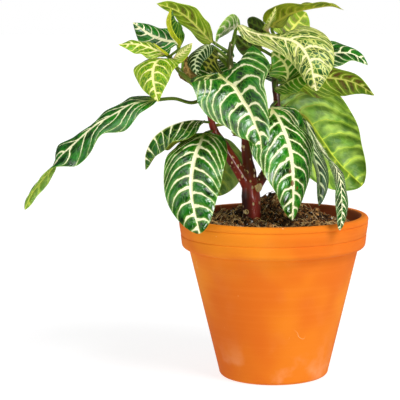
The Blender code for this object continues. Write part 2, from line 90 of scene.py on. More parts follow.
def put(tree, kind, inputs=(), **settings):
    """Places a node, sets it and fills its inputs with values or with other nodes' sockets."""
    made = tree.nodes.new("ShaderNode" + kind)
    for name, value in settings.items():
        setattr(made, name, value)
    for key, value in dict(inputs).items():
        if isinstance(value, bpy.types.NodeSocket):
            tree.links.new(value, made.inputs[key])
        else:
            made.inputs[key].default_value = value
    return made


def calc(tree, operation, *values):
    return put(tree, "Math", enumerate(values), operation=operation).outputs[0]


def times(tree, first, second):
    return calc(tree, "MULTIPLY", first, second)


def plus(tree, first, second):
    return calc(tree, "ADD", first, second)


def minus(tree, first, second):
    return calc(tree, "SUBTRACT", first, second)


def fade(tree, value, low, high, at_low=0.0, at_high=1.0):
    """Goes smoothly from one value to another as the input passes from low to high."""
    inputs = {"Value": value, "From Min": low, "From Max": high, "To Min": at_low, "To Max": at_high}
    return put(tree, "MapRange", inputs, interpolation_type="SMOOTHSTEP").outputs["Result"]


def tint(tree, share, first, second, how="MIX"):
    """Mixes two colours by a share."""
    return put(tree, "Mix", {0: share, 6: first, 7: second}, data_type="RGBA", blend_type=how).outputs[2]


def cloud(tree, place, scale, detail=2.0):
    """Soft random values around 0.5."""
    return put(tree, "TexNoise", {"Vector": place, "Scale": scale, "Detail": detail}).outputs[0]


def stretch(tree, place, scale):
    return put(tree, "VectorMath", {0: place, 1: scale}, operation="MULTIPLY").outputs[0]


def new_finish(name, roughness, coat=0.0, coat_roughness=0.2):
    """A material with an empty Principled shader. Returns the material, its tree and the shader."""
    made = bpy.data.materials.new(name)
    made.use_nodes = True
    shader = made.node_tree.nodes["Principled BSDF"]
    shader.inputs["Roughness"].default_value = roughness
    shader.inputs["Coat Weight"].default_value = coat
    shader.inputs["Coat Roughness"].default_value = coat_roughness
    return made, made.node_tree, shader


def feed(tree, shader, **sockets):
    """Links results to the shader's sockets. An underscore stands for a blank in a name."""
    for name, value in sockets.items():
        tree.links.new(value, shader.inputs[name.replace("_", " ")])


def relief(tree, height, depth_mm, strength=1.0):
    """A bump whose full height is depth_mm."""
    inputs = {"Height": height, "Distance": depth_mm * MM, "Strength": strength}
    return put(tree, "Bump", inputs).outputs["Normal"]


# %% [markdown]
# ## Light
# A bright studio has light from everywhere, with one large soft lamp that is stronger than the rest. The
# walls, which stand at the height of the horizon, are white, and the ceiling is dimmer, so the world's
# light depends on the height it comes from. A sun lamp with a wide disc stands for the big soft lamp on the
# upper right. It lights the far floor as much as the near one, and it makes the sheen on the glossy leaves.

# %% Light
WALL_LIGHT = 1.0
CEILING_LIGHT = 0.38
WALL_TOP = 0.16
CEILING_FROM = 0.4
# Each lamp has a name, the direction that its light comes from, its strength and its width in degrees.
LAMPS = [
    ("big soft lamp", (0.42, -0.5, 0.76), 2.1, 24),
    ("fill lamp", (-0.8, -0.55, 0.35), 0.4, 70),
    ("strip lamp", (0.66, -0.74, 0.12), 0.5, 16),
]

world = bpy.data.worlds.new("white studio")
world.use_nodes = True
sky = world.node_tree
sky.nodes["Background"].inputs["Color"].default_value = (1, 1, 1, 1)
seen = put(sky, "TexCoord").outputs["Generated"]
above = put(sky, "SeparateXYZ", {0: seen}).outputs["Z"]
room = fade(sky, above, WALL_TOP, CEILING_FROM, WALL_LIGHT, CEILING_LIGHT)
bpy.context.scene.world = world
bpy.context.scene.view_settings.view_transform = "Standard"


def add_lamp(name, direction, strength, width_degrees):
    """A far lamp whose light comes from a direction, with a soft disc."""
    data = bpy.data.lights.new(name, "SUN")
    data.energy = strength
    data.angle = math.radians(width_degrees)
    lamp = bpy.data.objects.new(name, data)
    lamp.rotation_euler = Vector(direction).to_track_quat("Z", "Y").to_euler()
    bpy.context.scene.collection.objects.link(lamp)


for lamp_values in LAMPS:
    add_lamp(*lamp_values)
print("lamps:", len(LAMPS))

# %% [markdown]
# ## What glossy things mirror
# A white room would lay a grey veil over every glossy leaf. So mirrored rays see a dimmer room with bright
# panels, which keeps the greens deep and gives clear highlights. All other rays see the white room.

# %% Mirrored room
MIRRORED_WALLS = 0.1
# Each panel has the direction where it hangs, half its width in degrees and its strength.
PANELS = [
    ((0.05, -0.75, 0.66), 12, 3.0),
    ((-0.35, -0.35, 0.87), 16, 1.6),
    ((0.6, -0.8, -0.12), 17, 9.0),
    ((-0.75, -0.6, 0.2), 12, 1.0),
]

mirrored = MIRRORED_WALLS
for direction, half_angle, strength in PANELS:
    toward = Vector(direction).normalized()
    facing = put(sky, "VectorMath", {0: seen, 1: toward}, operation="DOT_PRODUCT").outputs["Value"]
    edge = math.cos(math.radians(half_angle * 1.3))
    inside = math.cos(math.radians(half_angle * 0.7))
    mirrored = plus(sky, mirrored, fade(sky, facing, edge, inside, 0.0, strength))
is_mirror = put(sky, "LightPath").outputs["Is Glossy Ray"]
direct = times(sky, room, minus(sky, 1.0, is_mirror))
level = plus(sky, direct, times(sky, mirrored, is_mirror))
sky.links.new(level, sky.nodes["Background"].inputs["Strength"])
print("mirrored panels:", len(PANELS))

# %% [markdown]
# Every shape in this lesson starts as a bmesh, which is Blender's mesh for editing. This helper ends the
# editing and hands back an ordinary mesh.

# %% Mesh helper


def as_mesh(shape, name):
    """Ends a bmesh and returns its mesh."""
    mesh = bpy.data.meshes.new(name)
    shape.to_mesh(mesh)
    shape.free()
    return mesh


# %% [markdown]
# ## The studio floor
# The floor is a wide white disc. In the photograph it is as white as the wall, with only a breath of shade
# by the pot, so it glows a little by itself. Glossy leaves don't mirror it, because that would turn them
# grey.

# %% Floor
FLOOR_GLOW = 0.8
STUDIO_RADIUS = 14
STUDIO_SIDES = 64
FLOOR_DROP = 0.2

floor_finish, _, floor_shader = new_finish("white floor", 0.6)
floor_shader.inputs["Base Color"].default_value = colour(148, 148, 149)
floor_shader.inputs["Emission Color"].default_value = colour(255, 255, 255)
floor_shader.inputs["Emission Strength"].default_value = FLOOR_GLOW
floor_shape = bmesh.new()
bmesh.ops.create_circle(floor_shape, cap_ends=True, segments=STUDIO_SIDES, radius=STUDIO_RADIUS)
floor_mesh = as_mesh(floor_shape, "floor")
floor_mesh.materials.append(floor_finish)
floor = bpy.data.objects.new("floor", floor_mesh)
floor.location.z = -FLOOR_DROP * MM
floor.visible_glossy = False
bpy.context.scene.collection.objects.link(floor)
print("floor:", 2 * STUDIO_RADIUS, "m across")

# %% [markdown]
# ## Helpers for pieces
# Each piece is one mesh at the origin, with its place in its points. It rides on the frame's only body, and
# it names the solid that it stands for.

# %% Piece helpers


def add_piece(name, shape, finishes, replaces=(), sharp_degrees=40):
    """Ends a bmesh as one piece of the plant."""
    mesh = as_mesh(shape, name)
    for finish in finishes:
        mesh.materials.append(finish)
    mesh.shade_smooth()
    mesh.set_sharp_from_angle(angle=math.radians(sharp_degrees))
    piece = bpy.data.objects.new(name, mesh)
    bpy.context.scene.collection.objects.link(piece)
    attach(piece, "root")
    if replaces:
        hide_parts(*replaces)
    return piece


def settle_modifiers(piece):
    """Turns a piece's modifiers into plain mesh."""
    graph = bpy.context.evaluated_depsgraph_get()
    mesh = bpy.data.meshes.new_from_object(piece.evaluated_get(graph))
    piece.modifiers.clear()
    piece.data = mesh


# %% [markdown]
# ## The clay pot
# A clay pot is thrown or pressed in one piece: a tapered body under a band that stands proud of it. It is
# turned here from its profile. The corners of a real pot are never sharp, because wet clay is wiped smooth,
# so the band, the lip and the foot are written as short arcs. Two fine grooves run round the band.

# %% Pot profile
POT_HEIGHT = 154
RIM_RADIUS = 90
BAND_HEIGHT = 31
BODY_TOP_RADIUS = 80.3
BASE_RADIUS = 52.4
LIP_RADIUS = 82
LIP_HEIGHT = POT_HEIGHT - 2.8
FLOOR_THICKNESS = 9
FLOOR_RADIUS = 44.5
POT_STEPS = 160
ARC_STEPS = 7


def arc(centre_radius, centre_height, radius, first, last):
    """Points along an arc of the profile, with angles in degrees from straight out."""
    points = []
    for step in range(ARC_STEPS + 1):
        angle = math.radians(first + (last - first) * step / ARC_STEPS)
        points.append((centre_radius + radius * math.cos(angle), centre_height + radius * math.sin(angle)))
    return points


def groove(radius, height, depth=0.7, half_height=0.9):
    """A fine rounded groove that runs round the band."""
    shares = (0.0, 0.35, 1.0, 0.35, 0.0)
    steps = (-1.0, -0.5, 0.0, 0.5, 1.0)
    return [(radius - depth * share, height + half_height * step) for share, step in zip(shares, steps)]


band_low = POT_HEIGHT - BAND_HEIGHT
pot_profile = [
    (0, 0),
    *arc(BASE_RADIUS - 4.6, 4.6, 4.6, -90, 0),
    (BODY_TOP_RADIUS - 0.6, band_low - 3.5),
    *arc(BODY_TOP_RADIUS + 1.6, band_low - 1.6, 1.6, 180, 90),
    *arc(82.4, band_low + 4.9, 4.9, -90, 0),
    *groove(88.1, POT_HEIGHT - 18.3),
    (89.3, POT_HEIGHT - 10),
    *groove(89.6, POT_HEIGHT - 6.1),
    *arc(RIM_RADIUS - 4.2, POT_HEIGHT - 4.2, 4.2, 10, 90),
    *arc(LIP_RADIUS + 2.2, POT_HEIGHT - 2.4, 2.2, 100, 170),
    (LIP_RADIUS - 0.4, LIP_HEIGHT - 3),
    (LIP_RADIUS - 12, 105),
    (LIP_RADIUS - 24.5, 59),
    *arc(FLOOR_RADIUS - 3, FLOOR_THICKNESS + 3, 3, 0, -90),
    (0, FLOOR_THICKNESS),
]
wall_slope = (LIP_RADIUS - FLOOR_RADIUS) / (LIP_HEIGHT - FLOOR_THICKNESS)
print("pot profile:", len(pot_profile), "points")


def turned(profile, steps):
    """Turns a profile that starts and ends on the axis into a closed shape."""
    shape = bmesh.new()
    corners = [shape.verts.new((radius * MM, 0, height * MM)) for radius, height in profile]
    edges = [shape.edges.new(pair) for pair in zip(corners, corners[1:])]
    bmesh.ops.spin(
        shape,
        geom=corners + edges,
        cent=(0, 0, 0),
        axis=(0, 0, 1),
        angle=math.tau,
        steps=steps,
        use_merge=True,
    )
    bmesh.ops.remove_doubles(shape, verts=shape.verts[:], dist=0.001 * MM)
    bmesh.ops.recalc_face_normals(shape, faces=shape.faces[:])
    return shape


# %% [markdown]
# Fired clay is matt and never one flat orange. Large soft clouds come from the kiln, fine grains from the
# clay and faint rings from the turning. Handling adds thin pale scratches and a dusty bloom near the foot.
# Each is one layer of noise at its own scale, mixed over the last. Painted shade darkens the body towards
# the foot. The inside is a second finish, darker from damp soil.

# %% Clay finishes


def clay_finish(name, light, deep, damp):
    """Matt clay between two screen colours. Damp is how much of it is darkened."""
    made, tree, shader = new_finish(name, 0.85)
    shader.inputs["Specular IOR Level"].default_value = 0.25
    place = put(tree, "TexCoord").outputs["Object"]
    kiln = fade(tree, cloud(tree, place, 13, 2), 0.38, 0.66)
    body = tint(tree, kiln, colour(*deep), colour(*light))
    rings = cloud(tree, stretch(tree, place, (6, 6, 420)), 1.0, 3)
    body = tint(tree, fade(tree, rings, 0.45, 0.75, 0.0, 0.07), body, colour(244, 150, 64))
    grain = cloud(tree, place, 900, 3)
    body = tint(tree, fade(tree, grain, 0.55, 0.8, 0.0, 0.22), body, colour(196, 92, 26))
    bloom = fade(tree, cloud(tree, place, 34, 4), 0.52, 0.72)
    height = put(tree, "SeparateXYZ", {0: place}).outputs["Z"]
    # Painted shade: the body darkens towards the foot.
    body = tint(tree, fade(tree, height, 0.0, 0.13, 0.45, 0.0), body, colour(198, 88, 8))
    bloom = times(tree, bloom, fade(tree, height, 0.005, 0.05, 0.5, 0.04))
    body = tint(tree, bloom, body, colour(226, 150, 100))
    bent = cloud(tree, place, 46, 1)
    line = calc(tree, "ABSOLUTE", minus(tree, bent, 0.5))
    scratch = fade(tree, line, 0.0, 0.0035, 1.0, 0.0)
    where = fade(tree, cloud(tree, place, 21, 1), 0.68, 0.72)
    scratch = times(tree, scratch, where)
    body = tint(tree, times(tree, scratch, 0.7), body, colour(255, 214, 160))
    specks = put(tree, "TexVoronoi", {"Vector": place, "Scale": 120.0}).outputs["Distance"]
    chosen = fade(tree, cloud(tree, place, 60, 1), 0.62, 0.7)
    specks = times(tree, fade(tree, specks, 0.05, 0.1, 0.8, 0.0), chosen)
    body = tint(tree, specks, body, colour(255, 205, 140))
    body = tint(tree, damp, body, colour(96, 40, 16), "MULTIPLY")
    bumps = plus(tree, times(tree, grain, 0.5), times(tree, rings, 0.35))
    feed(tree, shader, Base_Color=body, Normal=relief(tree, bumps, 0.12, 0.6))
    return made


clay = clay_finish("orange clay", (228, 130, 16), (214, 104, 8), 0.0)
damp_clay = clay_finish("damp inner clay", (176, 86, 34), (150, 66, 26), 0.3)
print("clay finish:", len(clay.node_tree.nodes), "nodes")

# %% [markdown]
# The inside gets the damp clay. The drain holes are drilled through the floor with a Boolean, as a potter
# would cut them out of the wet clay.

# %% Pot
DRAIN_HOLE_RADIUS = 6
DRAIN_HOLE_RING = 22
DRAIN_HOLES = 3
DRILL_SIDES = 40
POT_SHARP_DEGREES = 35

pot_shape = turned(pot_profile, POT_STEPS)
for face in pot_shape.faces:
    centre = face.calc_center_median() / MM
    radius = math.hypot(centre.x, centre.y)
    inner_wall = FLOOR_RADIUS + (centre.z - FLOOR_THICKNESS) * wall_slope
    face.material_index = 1 if radius < inner_wall + 0.8 and centre.z > FLOOR_THICKNESS - 1 else 0
pot = add_piece("clay_pot", pot_shape, [clay, damp_clay], ["pot"], POT_SHARP_DEGREES)

for hole in range(DRAIN_HOLES):
    turn = math.tau * hole / DRAIN_HOLES + math.pi / 2
    x, y = DRAIN_HOLE_RING * math.cos(turn), DRAIN_HOLE_RING * math.sin(turn)
    where = Vector((x, y, FLOOR_THICKNESS / 2))
    drill_shape = bmesh.new()
    bmesh.ops.create_cone(
        drill_shape,
        cap_ends=True,
        segments=DRILL_SIDES,
        radius1=DRAIN_HOLE_RADIUS * MM,
        radius2=DRAIN_HOLE_RADIUS * MM,
        depth=(FLOOR_THICKNESS + 10) * MM,
        matrix=Matrix.Translation(where * MM),
    )
    drill = bpy.data.objects.new("drill", as_mesh(drill_shape, "drill"))
    bpy.context.scene.collection.objects.link(drill)
    cut = pot.modifiers.new("drain hole", "BOOLEAN")
    cut.operation = "DIFFERENCE"
    cut.object = drill
    settle_modifiers(pot)
    bpy.data.objects.remove(drill)
pot.data.shade_smooth()
pot.data.set_sharp_from_angle(angle=math.radians(POT_SHARP_DEGREES))
print("pot:", len(pot.data.polygons), "faces")

# %% [markdown]
# ## Lines that leaves and branches follow
# A leaf's midrib and a branch are both smooth lines through a few points. Besides its place, each step
# along the line carries a way ahead and an upper direction, so that a blade or a tube can be laid along it
# without twisting.

# %% Smooth line


class Line:
    """A smooth line through points, with an upper direction carried both ways from the point level_at."""

    STEPS = 12

    def __init__(self, points, up=(0, 0, 1), level_at=0):
        places = [Vector(point) for point in points]
        last = len(places) - 1
        ways = self.ways_at(places)
        self.places = []
        for i in range(last):
            reach = (places[i + 1] - places[i]).length / 3
            leave = places[i] + ways[i] * reach
            arrive = places[i + 1] - ways[i + 1] * reach
            run = interpolate_bezier(places[i], leave, arrive, places[i + 1], self.STEPS + 1)
            self.places += run[:-1]
        self.places.append(places[last])
        self.distances = [0.0]
        for before, after in zip(self.places, self.places[1:]):
            self.distances.append(self.distances[-1] + (after - before).length)
        self.length = self.distances[-1]
        count = len(self.places) - 1
        self.ways = self.ways_at(self.places)
        start = level_at * self.STEPS
        self.ups = [Vector(up)] * (count + 1)
        for order in (range(start, count + 1), range(start, -1, -1)):
            carried = Vector(up)
            for i in order:
                carried = (carried - self.ways[i] * carried.dot(self.ways[i])).normalized()
                self.ups[i] = carried

    @staticmethod
    def ways_at(places):
        """The way ahead at each place, from the place before it to the place after it."""
        last = len(places) - 1
        return [(places[min(i + 1, last)] - places[max(i - 1, 0)]).normalized() for i in range(last + 1)]

    def distance_of(self, index):
        """Distance along the line at a point of the list it was made from."""
        return self.distances[round(index * self.STEPS)]

    def at(self, distance):
        """Place, way ahead and upper direction at a distance along the line."""
        distance = min(max(distance, 0.0), self.length)
        i = 0
        while i < len(self.distances) - 2 and self.distances[i + 1] < distance:
            i += 1
        share = (distance - self.distances[i]) / (self.distances[i + 1] - self.distances[i])
        place = self.places[i].lerp(self.places[i + 1], share)
        way = self.ways[i].lerp(self.ways[i + 1], share).normalized()
        up = self.ups[i].lerp(self.ups[i + 1], share)
        up = (up - way * up.dot(way)).normalized()
        return place, way, up


def between(values, share):
    """Value at a share of the way along an evenly spaced list of values."""
    if len(values) == 1:
        return values[0]
    place = min(max(share, 0.0), 1.0) * (len(values) - 1)
    i = min(int(place), len(values) - 2)
    rest = place - i
    smooth = rest * rest * (3 - 2 * rest)
    return values[i] + (values[i + 1] - values[i]) * smooth


# %% [markdown]
# A branch is a tube along such a line. A flat grid is rolled up round the line, its long edges are joined
# and its ends are filled. Small rings swell where leaves once grew.

# %% Tube
KNOT_SPACING = 17
KNOT_HALF_WIDTH = 1.5


def tube(route, radii, sides, rows, knots=0.0):
    """A closed tapered tube along a route, as a mesh. Knots is the height of its swellings."""
    line = Line(route, up=(0, -1, 0))
    shape = bmesh.new()
    bmesh.ops.create_grid(shape, x_segments=rows, y_segments=sides, size=1)
    for vert in shape.verts:
        share = (vert.co.x + 1) / 2
        turn = math.pi * vert.co.y
        place, way, up = line.at(share * line.length)
        phase = share * line.length / KNOT_SPACING
        knot = math.exp(-(((phase - round(phase)) * KNOT_SPACING / KNOT_HALF_WIDTH) ** 2))
        radius = between(radii, share) + knots * knot
        side = way.cross(up)
        vert.co = (place + (up * math.cos(turn) + side * math.sin(turn)) * radius) * MM
    bmesh.ops.remove_doubles(shape, verts=shape.verts[:], dist=0.0001 * MM)
    bmesh.ops.holes_fill(shape, edges=shape.edges[:], sides=0)
    bmesh.ops.recalc_face_normals(shape, faces=shape.faces[:])
    return as_mesh(shape, "tube")


# %% [markdown]
# ## The soil
# Potting soil is dark peat with loose crumbs, a few bark chips, pale fibres and white grit. One surface
# alone would look like paint, so the bed is a low mound with real lumps, and hundreds of small pieces lie
# on it, each with few faces. A seeded random generator places them, so that every run gives the same soil.

# %% Soil bed
SOIL_LEVEL = 144
SOIL_MOUND = 3.5
SOIL_HEAP = 19
SOIL_HEAP_RADIUS = 34
SOIL_HEAP_PLACE = (2, 37)
SOIL_TILT = 0.035
SOIL_GAP = 0.45
SOIL_RINGS = 44
SOIL_STEPS = 150
TRUNK_X = -20
TRUNK_Y = 1


def inner_radius(height):
    return FLOOR_RADIUS + (height - FLOOR_THICKNESS) * wall_slope - SOIL_GAP


def soil_height(x, y):
    """Height of the bed in millimetres: the frame's mound, tilt and lumps, with finer crumbs on top."""
    mound = SOIL_MOUND * (1 - (x * x + y * y) / 80**2)
    lumps = 1.5 * math.sin(x / 10 + 1) * math.cos(y / 9) + 1.1 * math.sin((x + y) / 6.5 + 2)
    off = math.hypot(x - SOIL_HEAP_PLACE[0], y - SOIL_HEAP_PLACE[1]) / SOIL_HEAP_RADIUS
    lumps += SOIL_HEAP * math.exp(-off * off)
    edge = min(1.0, max(0.0, (inner_radius(SOIL_LEVEL) - math.hypot(x, y)) / 5))
    fine = 2.2 * noise.fractal(Vector((x / 5, y / 5, 3)), 0.9, 2.1, 4)
    return SOIL_LEVEL + (mound - SOIL_TILT * x + lumps) * (0.35 + 0.65 * edge) + fine * edge


bed_profile = [
    (0, FLOOR_THICKNESS + 0.4),
    (inner_radius(FLOOR_THICKNESS + 0.4), FLOOR_THICKNESS + 0.4),
    (inner_radius(SOIL_LEVEL - 4), SOIL_LEVEL - 4),
]
rim_of_bed = inner_radius(SOIL_LEVEL)
bed_profile += [(rim_of_bed * (1 - ring / SOIL_RINGS), SOIL_LEVEL) for ring in range(SOIL_RINGS + 1)]
bed_shape = turned(bed_profile, SOIL_STEPS)
for vert in bed_shape.verts:
    if vert.co.z > (SOIL_LEVEL - 1) * MM:
        vert.co.z = soil_height(vert.co.x / MM, vert.co.y / MM) * MM
print("soil bed:", len(bed_shape.faces), "faces")

# %% [markdown]
# All kinds of soil share one finish recipe: clumps of dark and light, with pale bits at a finer scale. What
# differs is how pale and how coarse each kind is.

# %% Soil finishes


def soil_finish(name, dark, light, pale, pale_share, grain_scale):
    """Clumps between two screen colours, with bits of a third one."""
    made, tree, shader = new_finish(name, 0.95)
    shader.inputs["Specular IOR Level"].default_value = 0.2
    place = put(tree, "TexCoord").outputs["Object"]
    clumps = fade(tree, cloud(tree, place, grain_scale, 5), 0.35, 0.65)
    body = tint(tree, clumps, colour(*dark), colour(*light))
    bits = fade(tree, cloud(tree, place, grain_scale * 2.6, 3), 0.62, 0.7, 0.0, pale_share)
    body = tint(tree, bits, body, colour(*pale))
    feed(tree, shader, Base_Color=body, Normal=relief(tree, clumps, 0.8, 0.8))
    return made


peat = soil_finish("peat", (8, 4, 2), (70, 42, 20), (214, 168, 110), 0.6, 220)
crumb = soil_finish("peat crumb", (8, 4, 2), (150, 96, 50), (255, 228, 180), 1.0, 300)
chip = soil_finish("bark chip", (70, 40, 18), (196, 142, 80), (250, 224, 180), 0.7, 240)
fibre = soil_finish("dry fibre", (50, 28, 12), (250, 206, 140), (255, 244, 216), 0.8, 90)
grit = soil_finish("white grit", (206, 202, 194), (240, 238, 232), (255, 255, 255), 0.5, 600)
add_piece("soil_bed", bed_shape, [peat], ["soil"], 180)
print("soil finish:", len(peat.node_tree.nodes), "nodes")

# %% [markdown]
# The loose pieces share one recipe: a coarse ball, pushed about by noise, squeezed to a chip or a grain,
# turned at random and dropped on the bed. A piece takes its height from the same formula as the bed, so
# none floats.

# %% Loose soil
CRUMBS = 1400
CHIPS = 110
GRAINS = 300
TRUNK_CLEAR = 10.5
SEED = 12

dice = random.Random(SEED)


def spot_on_bed(margin):
    """A random place on the bed, clear of the trunk and the wall."""
    while True:
        radius = (rim_of_bed - margin) * math.sqrt(dice.random())
        turn = dice.uniform(0, math.tau)
        x, y = radius * math.cos(turn), radius * math.sin(turn)
        if math.hypot(x - TRUNK_X, y - TRUNK_Y) > TRUNK_CLEAR:
            return x, y


def scatter(count, smallest, largest, squeeze, detail):
    """Many small rough lumps, resting on the bed."""
    heap = bmesh.new()
    for _ in range(count):
        size = smallest + (largest - smallest) * dice.random() ** 2.2
        x, y = spot_on_bed(size)
        lift = soil_height(x, y) + size * 0.12
        scale = [dice.uniform(low, 1.0) for low in squeeze]
        spin = Matrix.Rotation(dice.uniform(0, math.tau), 4, "Z")
        spin = spin @ Matrix.Rotation(dice.uniform(-0.5, 0.5), 4, "X")
        made = bmesh.ops.create_icosphere(heap, subdivisions=detail, radius=size / 2 * MM)
        offset = Vector((dice.uniform(0, 99), dice.uniform(0, 99), 0))
        for vert in made["verts"]:
            bump = 1 + 0.42 * noise.noise(vert.co / MM / size * 2.4 + offset)
            vert.co = Vector((vert.co.x * scale[0], vert.co.y * scale[1], vert.co.z * scale[2])) * bump
        drop = Matrix.Translation(Vector((x, y, lift)) * MM)
        bmesh.ops.transform(heap, matrix=drop @ spin, verts=made["verts"])
    return heap


add_piece("soil_crumbs", scatter(CRUMBS, 0.9, 6.0, (0.6, 0.6, 0.5), 1), [crumb], (), 180)
add_piece("bark_chips", scatter(CHIPS, 3.0, 9.5, (0.7, 0.35, 0.25), 2), [chip], (), 60)
add_piece("white_grit", scatter(GRAINS, 0.8, 2.6, (0.7, 0.7, 0.6), 1), [grit], (), 60)
print("loose soil:", CRUMBS, "crumbs,", CHIPS, "chips,", GRAINS, "grains")

# %% [markdown]
# Dry roots and coconut fibres are thin bent threads. Each is a tube with four sides that rises a little
# from the bed in its middle.

# %% Fibres
FIBRES = 420
FIBRE_SIDES = 4
FIBRE_ROWS = 6
FIBRE_MARGIN = 6


def fibre_route(x, y):
    """Points of one bent thread that lies on the bed, its middle at x and y."""
    length = dice.uniform(5, 18)
    heading = dice.uniform(0, math.tau)
    bend = dice.uniform(-1.6, 1.6)
    rise = dice.uniform(0.6, 6.0) * dice.random() + 0.4
    route = []
    for share in (0.0, 0.33, 0.67, 1.0):
        turn = heading + bend * (share - 0.5)
        px, py = x + (share - 0.5) * length * math.cos(turn), y + (share - 0.5) * length * math.sin(turn)
        pull = min(1.0, (rim_of_bed - 1) / math.hypot(px, py))
        px, py = px * pull, py * pull
        route.append((px, py, soil_height(px, py) + 0.5 + rise * math.sin(math.pi * share)))
    return route


fibre_heap = bmesh.new()
for _ in range(FIBRES):
    thickness = dice.uniform(0.18, 0.45)
    route = fibre_route(*spot_on_bed(FIBRE_MARGIN))
    fibre_heap.from_mesh(tube(route, [thickness, thickness / 2], FIBRE_SIDES, FIBRE_ROWS))
add_piece("soil_fibres", fibre_heap, [fibre], (), 180)
print("soil fibres:", FIBRES)

# %% [markdown]
# ## The stem
# The trunk forks into three branches. Each was laid as its own tube, but a real fork has no seams, so the
# tubes are joined into one skin with a voxel remesh and smoothed. Where a leaf grows or once grew, the stem
# has a slight swelling, which is part of each tube's radius.

# %% Stem routes
TRUNK_ROOT = 104
TRUNK_ROUTE = [
    (-20, 1, TRUNK_ROOT), (-20, 1, 130), (-20, 1, 145), (-21, 1, 163), (-22, 0, 178), (-22, 0, 185),
]
TRUNK_RADII = [8.7, 8.7, 8.7, 8.9, 9.0, 7.4]
BRANCH_ROUTES = {
    "left": [
        (-22, 0, 176), (-29, -2, 190), (-43, -6, 213), (-56, -10, 236), (-60, -9, 251), (-66, -6, 264),
        (-75, -2, 277), (-85, 1, 286), (-93, 4, 295), (-97, 6, 304),
    ],
    "middle": [
        (-22, 0, 176), (-23, 2, 194), (-25, 4, 207), (-26, 6, 222), (-25, 8, 238), (-29, 8, 257),
        (-35, 6, 273), (-39, 4, 287), (-41, 3, 301), (-40, 3, 317),
    ],
    "right": [
        (-19, 1, 176), (-10, 7, 189), (-3, 12, 204), (1, 14, 223), (3, 13, 242), (3, 10, 262),
        (1, 6, 281), (3, 3, 298), (7, 1, 316),
    ],
}
BRANCH_RADII = {
    "left": [6.2, 5.6, 5.4, 5.3, 3.5, 3.0, 2.6, 2.4, 2.3, 1.3],
    "middle": [7.6, 6.6, 5.0, 4.6, 4.5, 4.1, 3.6, 3.3, 3.0, 1.8],
    "right": [5.2, 4.4, 4.2, 4.0, 3.8, 3.4, 3.1, 2.8, 1.6],
}
TWIGS = [
    ([(-26, 6, 223), (-33, 3, 228), (-39, 0, 229)], [1.4, 1.2, 0.9]),
    ([(-27, 6, 214), (-31, 3, 217)], [1.3, 0.7]),
]
branch_lines = {name: Line(route, up=(0, -1, 0)) for name, route in BRANCH_ROUTES.items()}
for name, line in branch_lines.items():
    print(name, "branch:", round(line.length), "mm")

# %% [markdown]
# Each tube is wound from a grid with enough sides to be round and enough rows to show its swellings. The
# branches begin inside the trunk, so that the fork has no gap.

# %% Stem tubes
TRUNK_GRID = (32, 100)
BRANCH_GRID = (24, 180)
TWIG_GRID = (10, 20)
TRUNK_KNOTS = 0.1
BRANCH_KNOTS = 0.3

stem_shape = bmesh.new()
stem_shape.from_mesh(tube(TRUNK_ROUTE, TRUNK_RADII, *TRUNK_GRID, TRUNK_KNOTS))
for name, route in BRANCH_ROUTES.items():
    stem_shape.from_mesh(tube(route, BRANCH_RADII[name], *BRANCH_GRID, BRANCH_KNOTS))
for route, radii in TWIGS:
    stem_shape.from_mesh(tube(route, radii, *TWIG_GRID))
print("stem tubes:", len(stem_shape.faces), "faces")

# %% [markdown]
# The bark is smooth and mahogany red on the younger wood, darker on the older branch, and green towards
# the soft tops of the shoots. Painted shade darkens the left side of the lower trunk. Pale dots, the pores
# of the bark, are small Voronoi cells. Long faint streaks follow the stem. Colour by height works here
# because the stem stands upright.

# %% Bark finish


def bark_finish():
    """Old, young and soft wood and the painted shade are placed by where they are on the stem."""
    made, tree, shader = new_finish("mahogany bark", 0.4, 0.7, 0.12)
    place = put(tree, "TexCoord").outputs["Object"]
    axes = put(tree, "SeparateXYZ", {0: place})
    streaks = cloud(tree, stretch(tree, place, (1, 1, 0.3)), 60, 3)
    body = tint(tree, fade(tree, streaks, 0.35, 0.7), colour(80, 8, 2), colour(190, 48, 20))
    # Painted shade: the left side of the lower trunk, away from the big lamp, is darker.
    painted_shade_left_side = fade(tree, axes.outputs["X"], -0.027, -0.017, 0.92, 0.0)
    painted_shade_left_side = times(tree, painted_shade_left_side, fade(tree, axes.outputs["Z"], 0.172, 0.186, 1.0, 0.0))
    body = tint(tree, painted_shade_left_side, body, colour(30, 6, 4))
    corky = fade(tree, axes.outputs["X"], -0.034, -0.026)
    corky = times(tree, corky, fade(tree, axes.outputs["Z"], 0.176, 0.196))
    body = tint(tree, times(tree, corky, 0.7), body, colour(44, 24, 16))
    soft = fade(tree, axes.outputs["X"], -0.078, -0.064, 1.0, 0.0)
    soft = times(tree, soft, fade(tree, axes.outputs["Z"], 0.262, 0.28))
    body = tint(tree, soft, body, colour(150, 168, 44))
    shoot = fade(tree, axes.outputs["Z"], 0.27, 0.29)
    body = tint(tree, times(tree, shoot, 0.85), body, colour(84, 104, 26))
    pores = put(tree, "TexVoronoi", {"Vector": stretch(tree, place, (1, 1, 0.6)), "Scale": 240.0})
    pore = fade(tree, pores.outputs["Distance"], 0.2, 0.3, 1.0, 0.0)
    chosen = fade(tree, cloud(tree, place, 130, 1), 0.42, 0.5)
    pore = times(tree, times(tree, pore, chosen), minus(tree, 1.0, soft))
    body = tint(tree, times(tree, pore, 0.95), body, colour(255, 226, 170))
    bumps = plus(tree, times(tree, streaks, 0.2), pore)
    feed(tree, shader, Base_Color=body, Normal=relief(tree, bumps, 0.25, 0.5))
    return made


bark = bark_finish()
print("bark finish:", len(bark.node_tree.nodes), "nodes")

# %% [markdown]
# The tubes become one skin here. The voxels are smaller than the thinnest twig, and a few rounds of
# smoothing take away the steps that they leave.

# %% Stem skin
VOXEL = 0.75

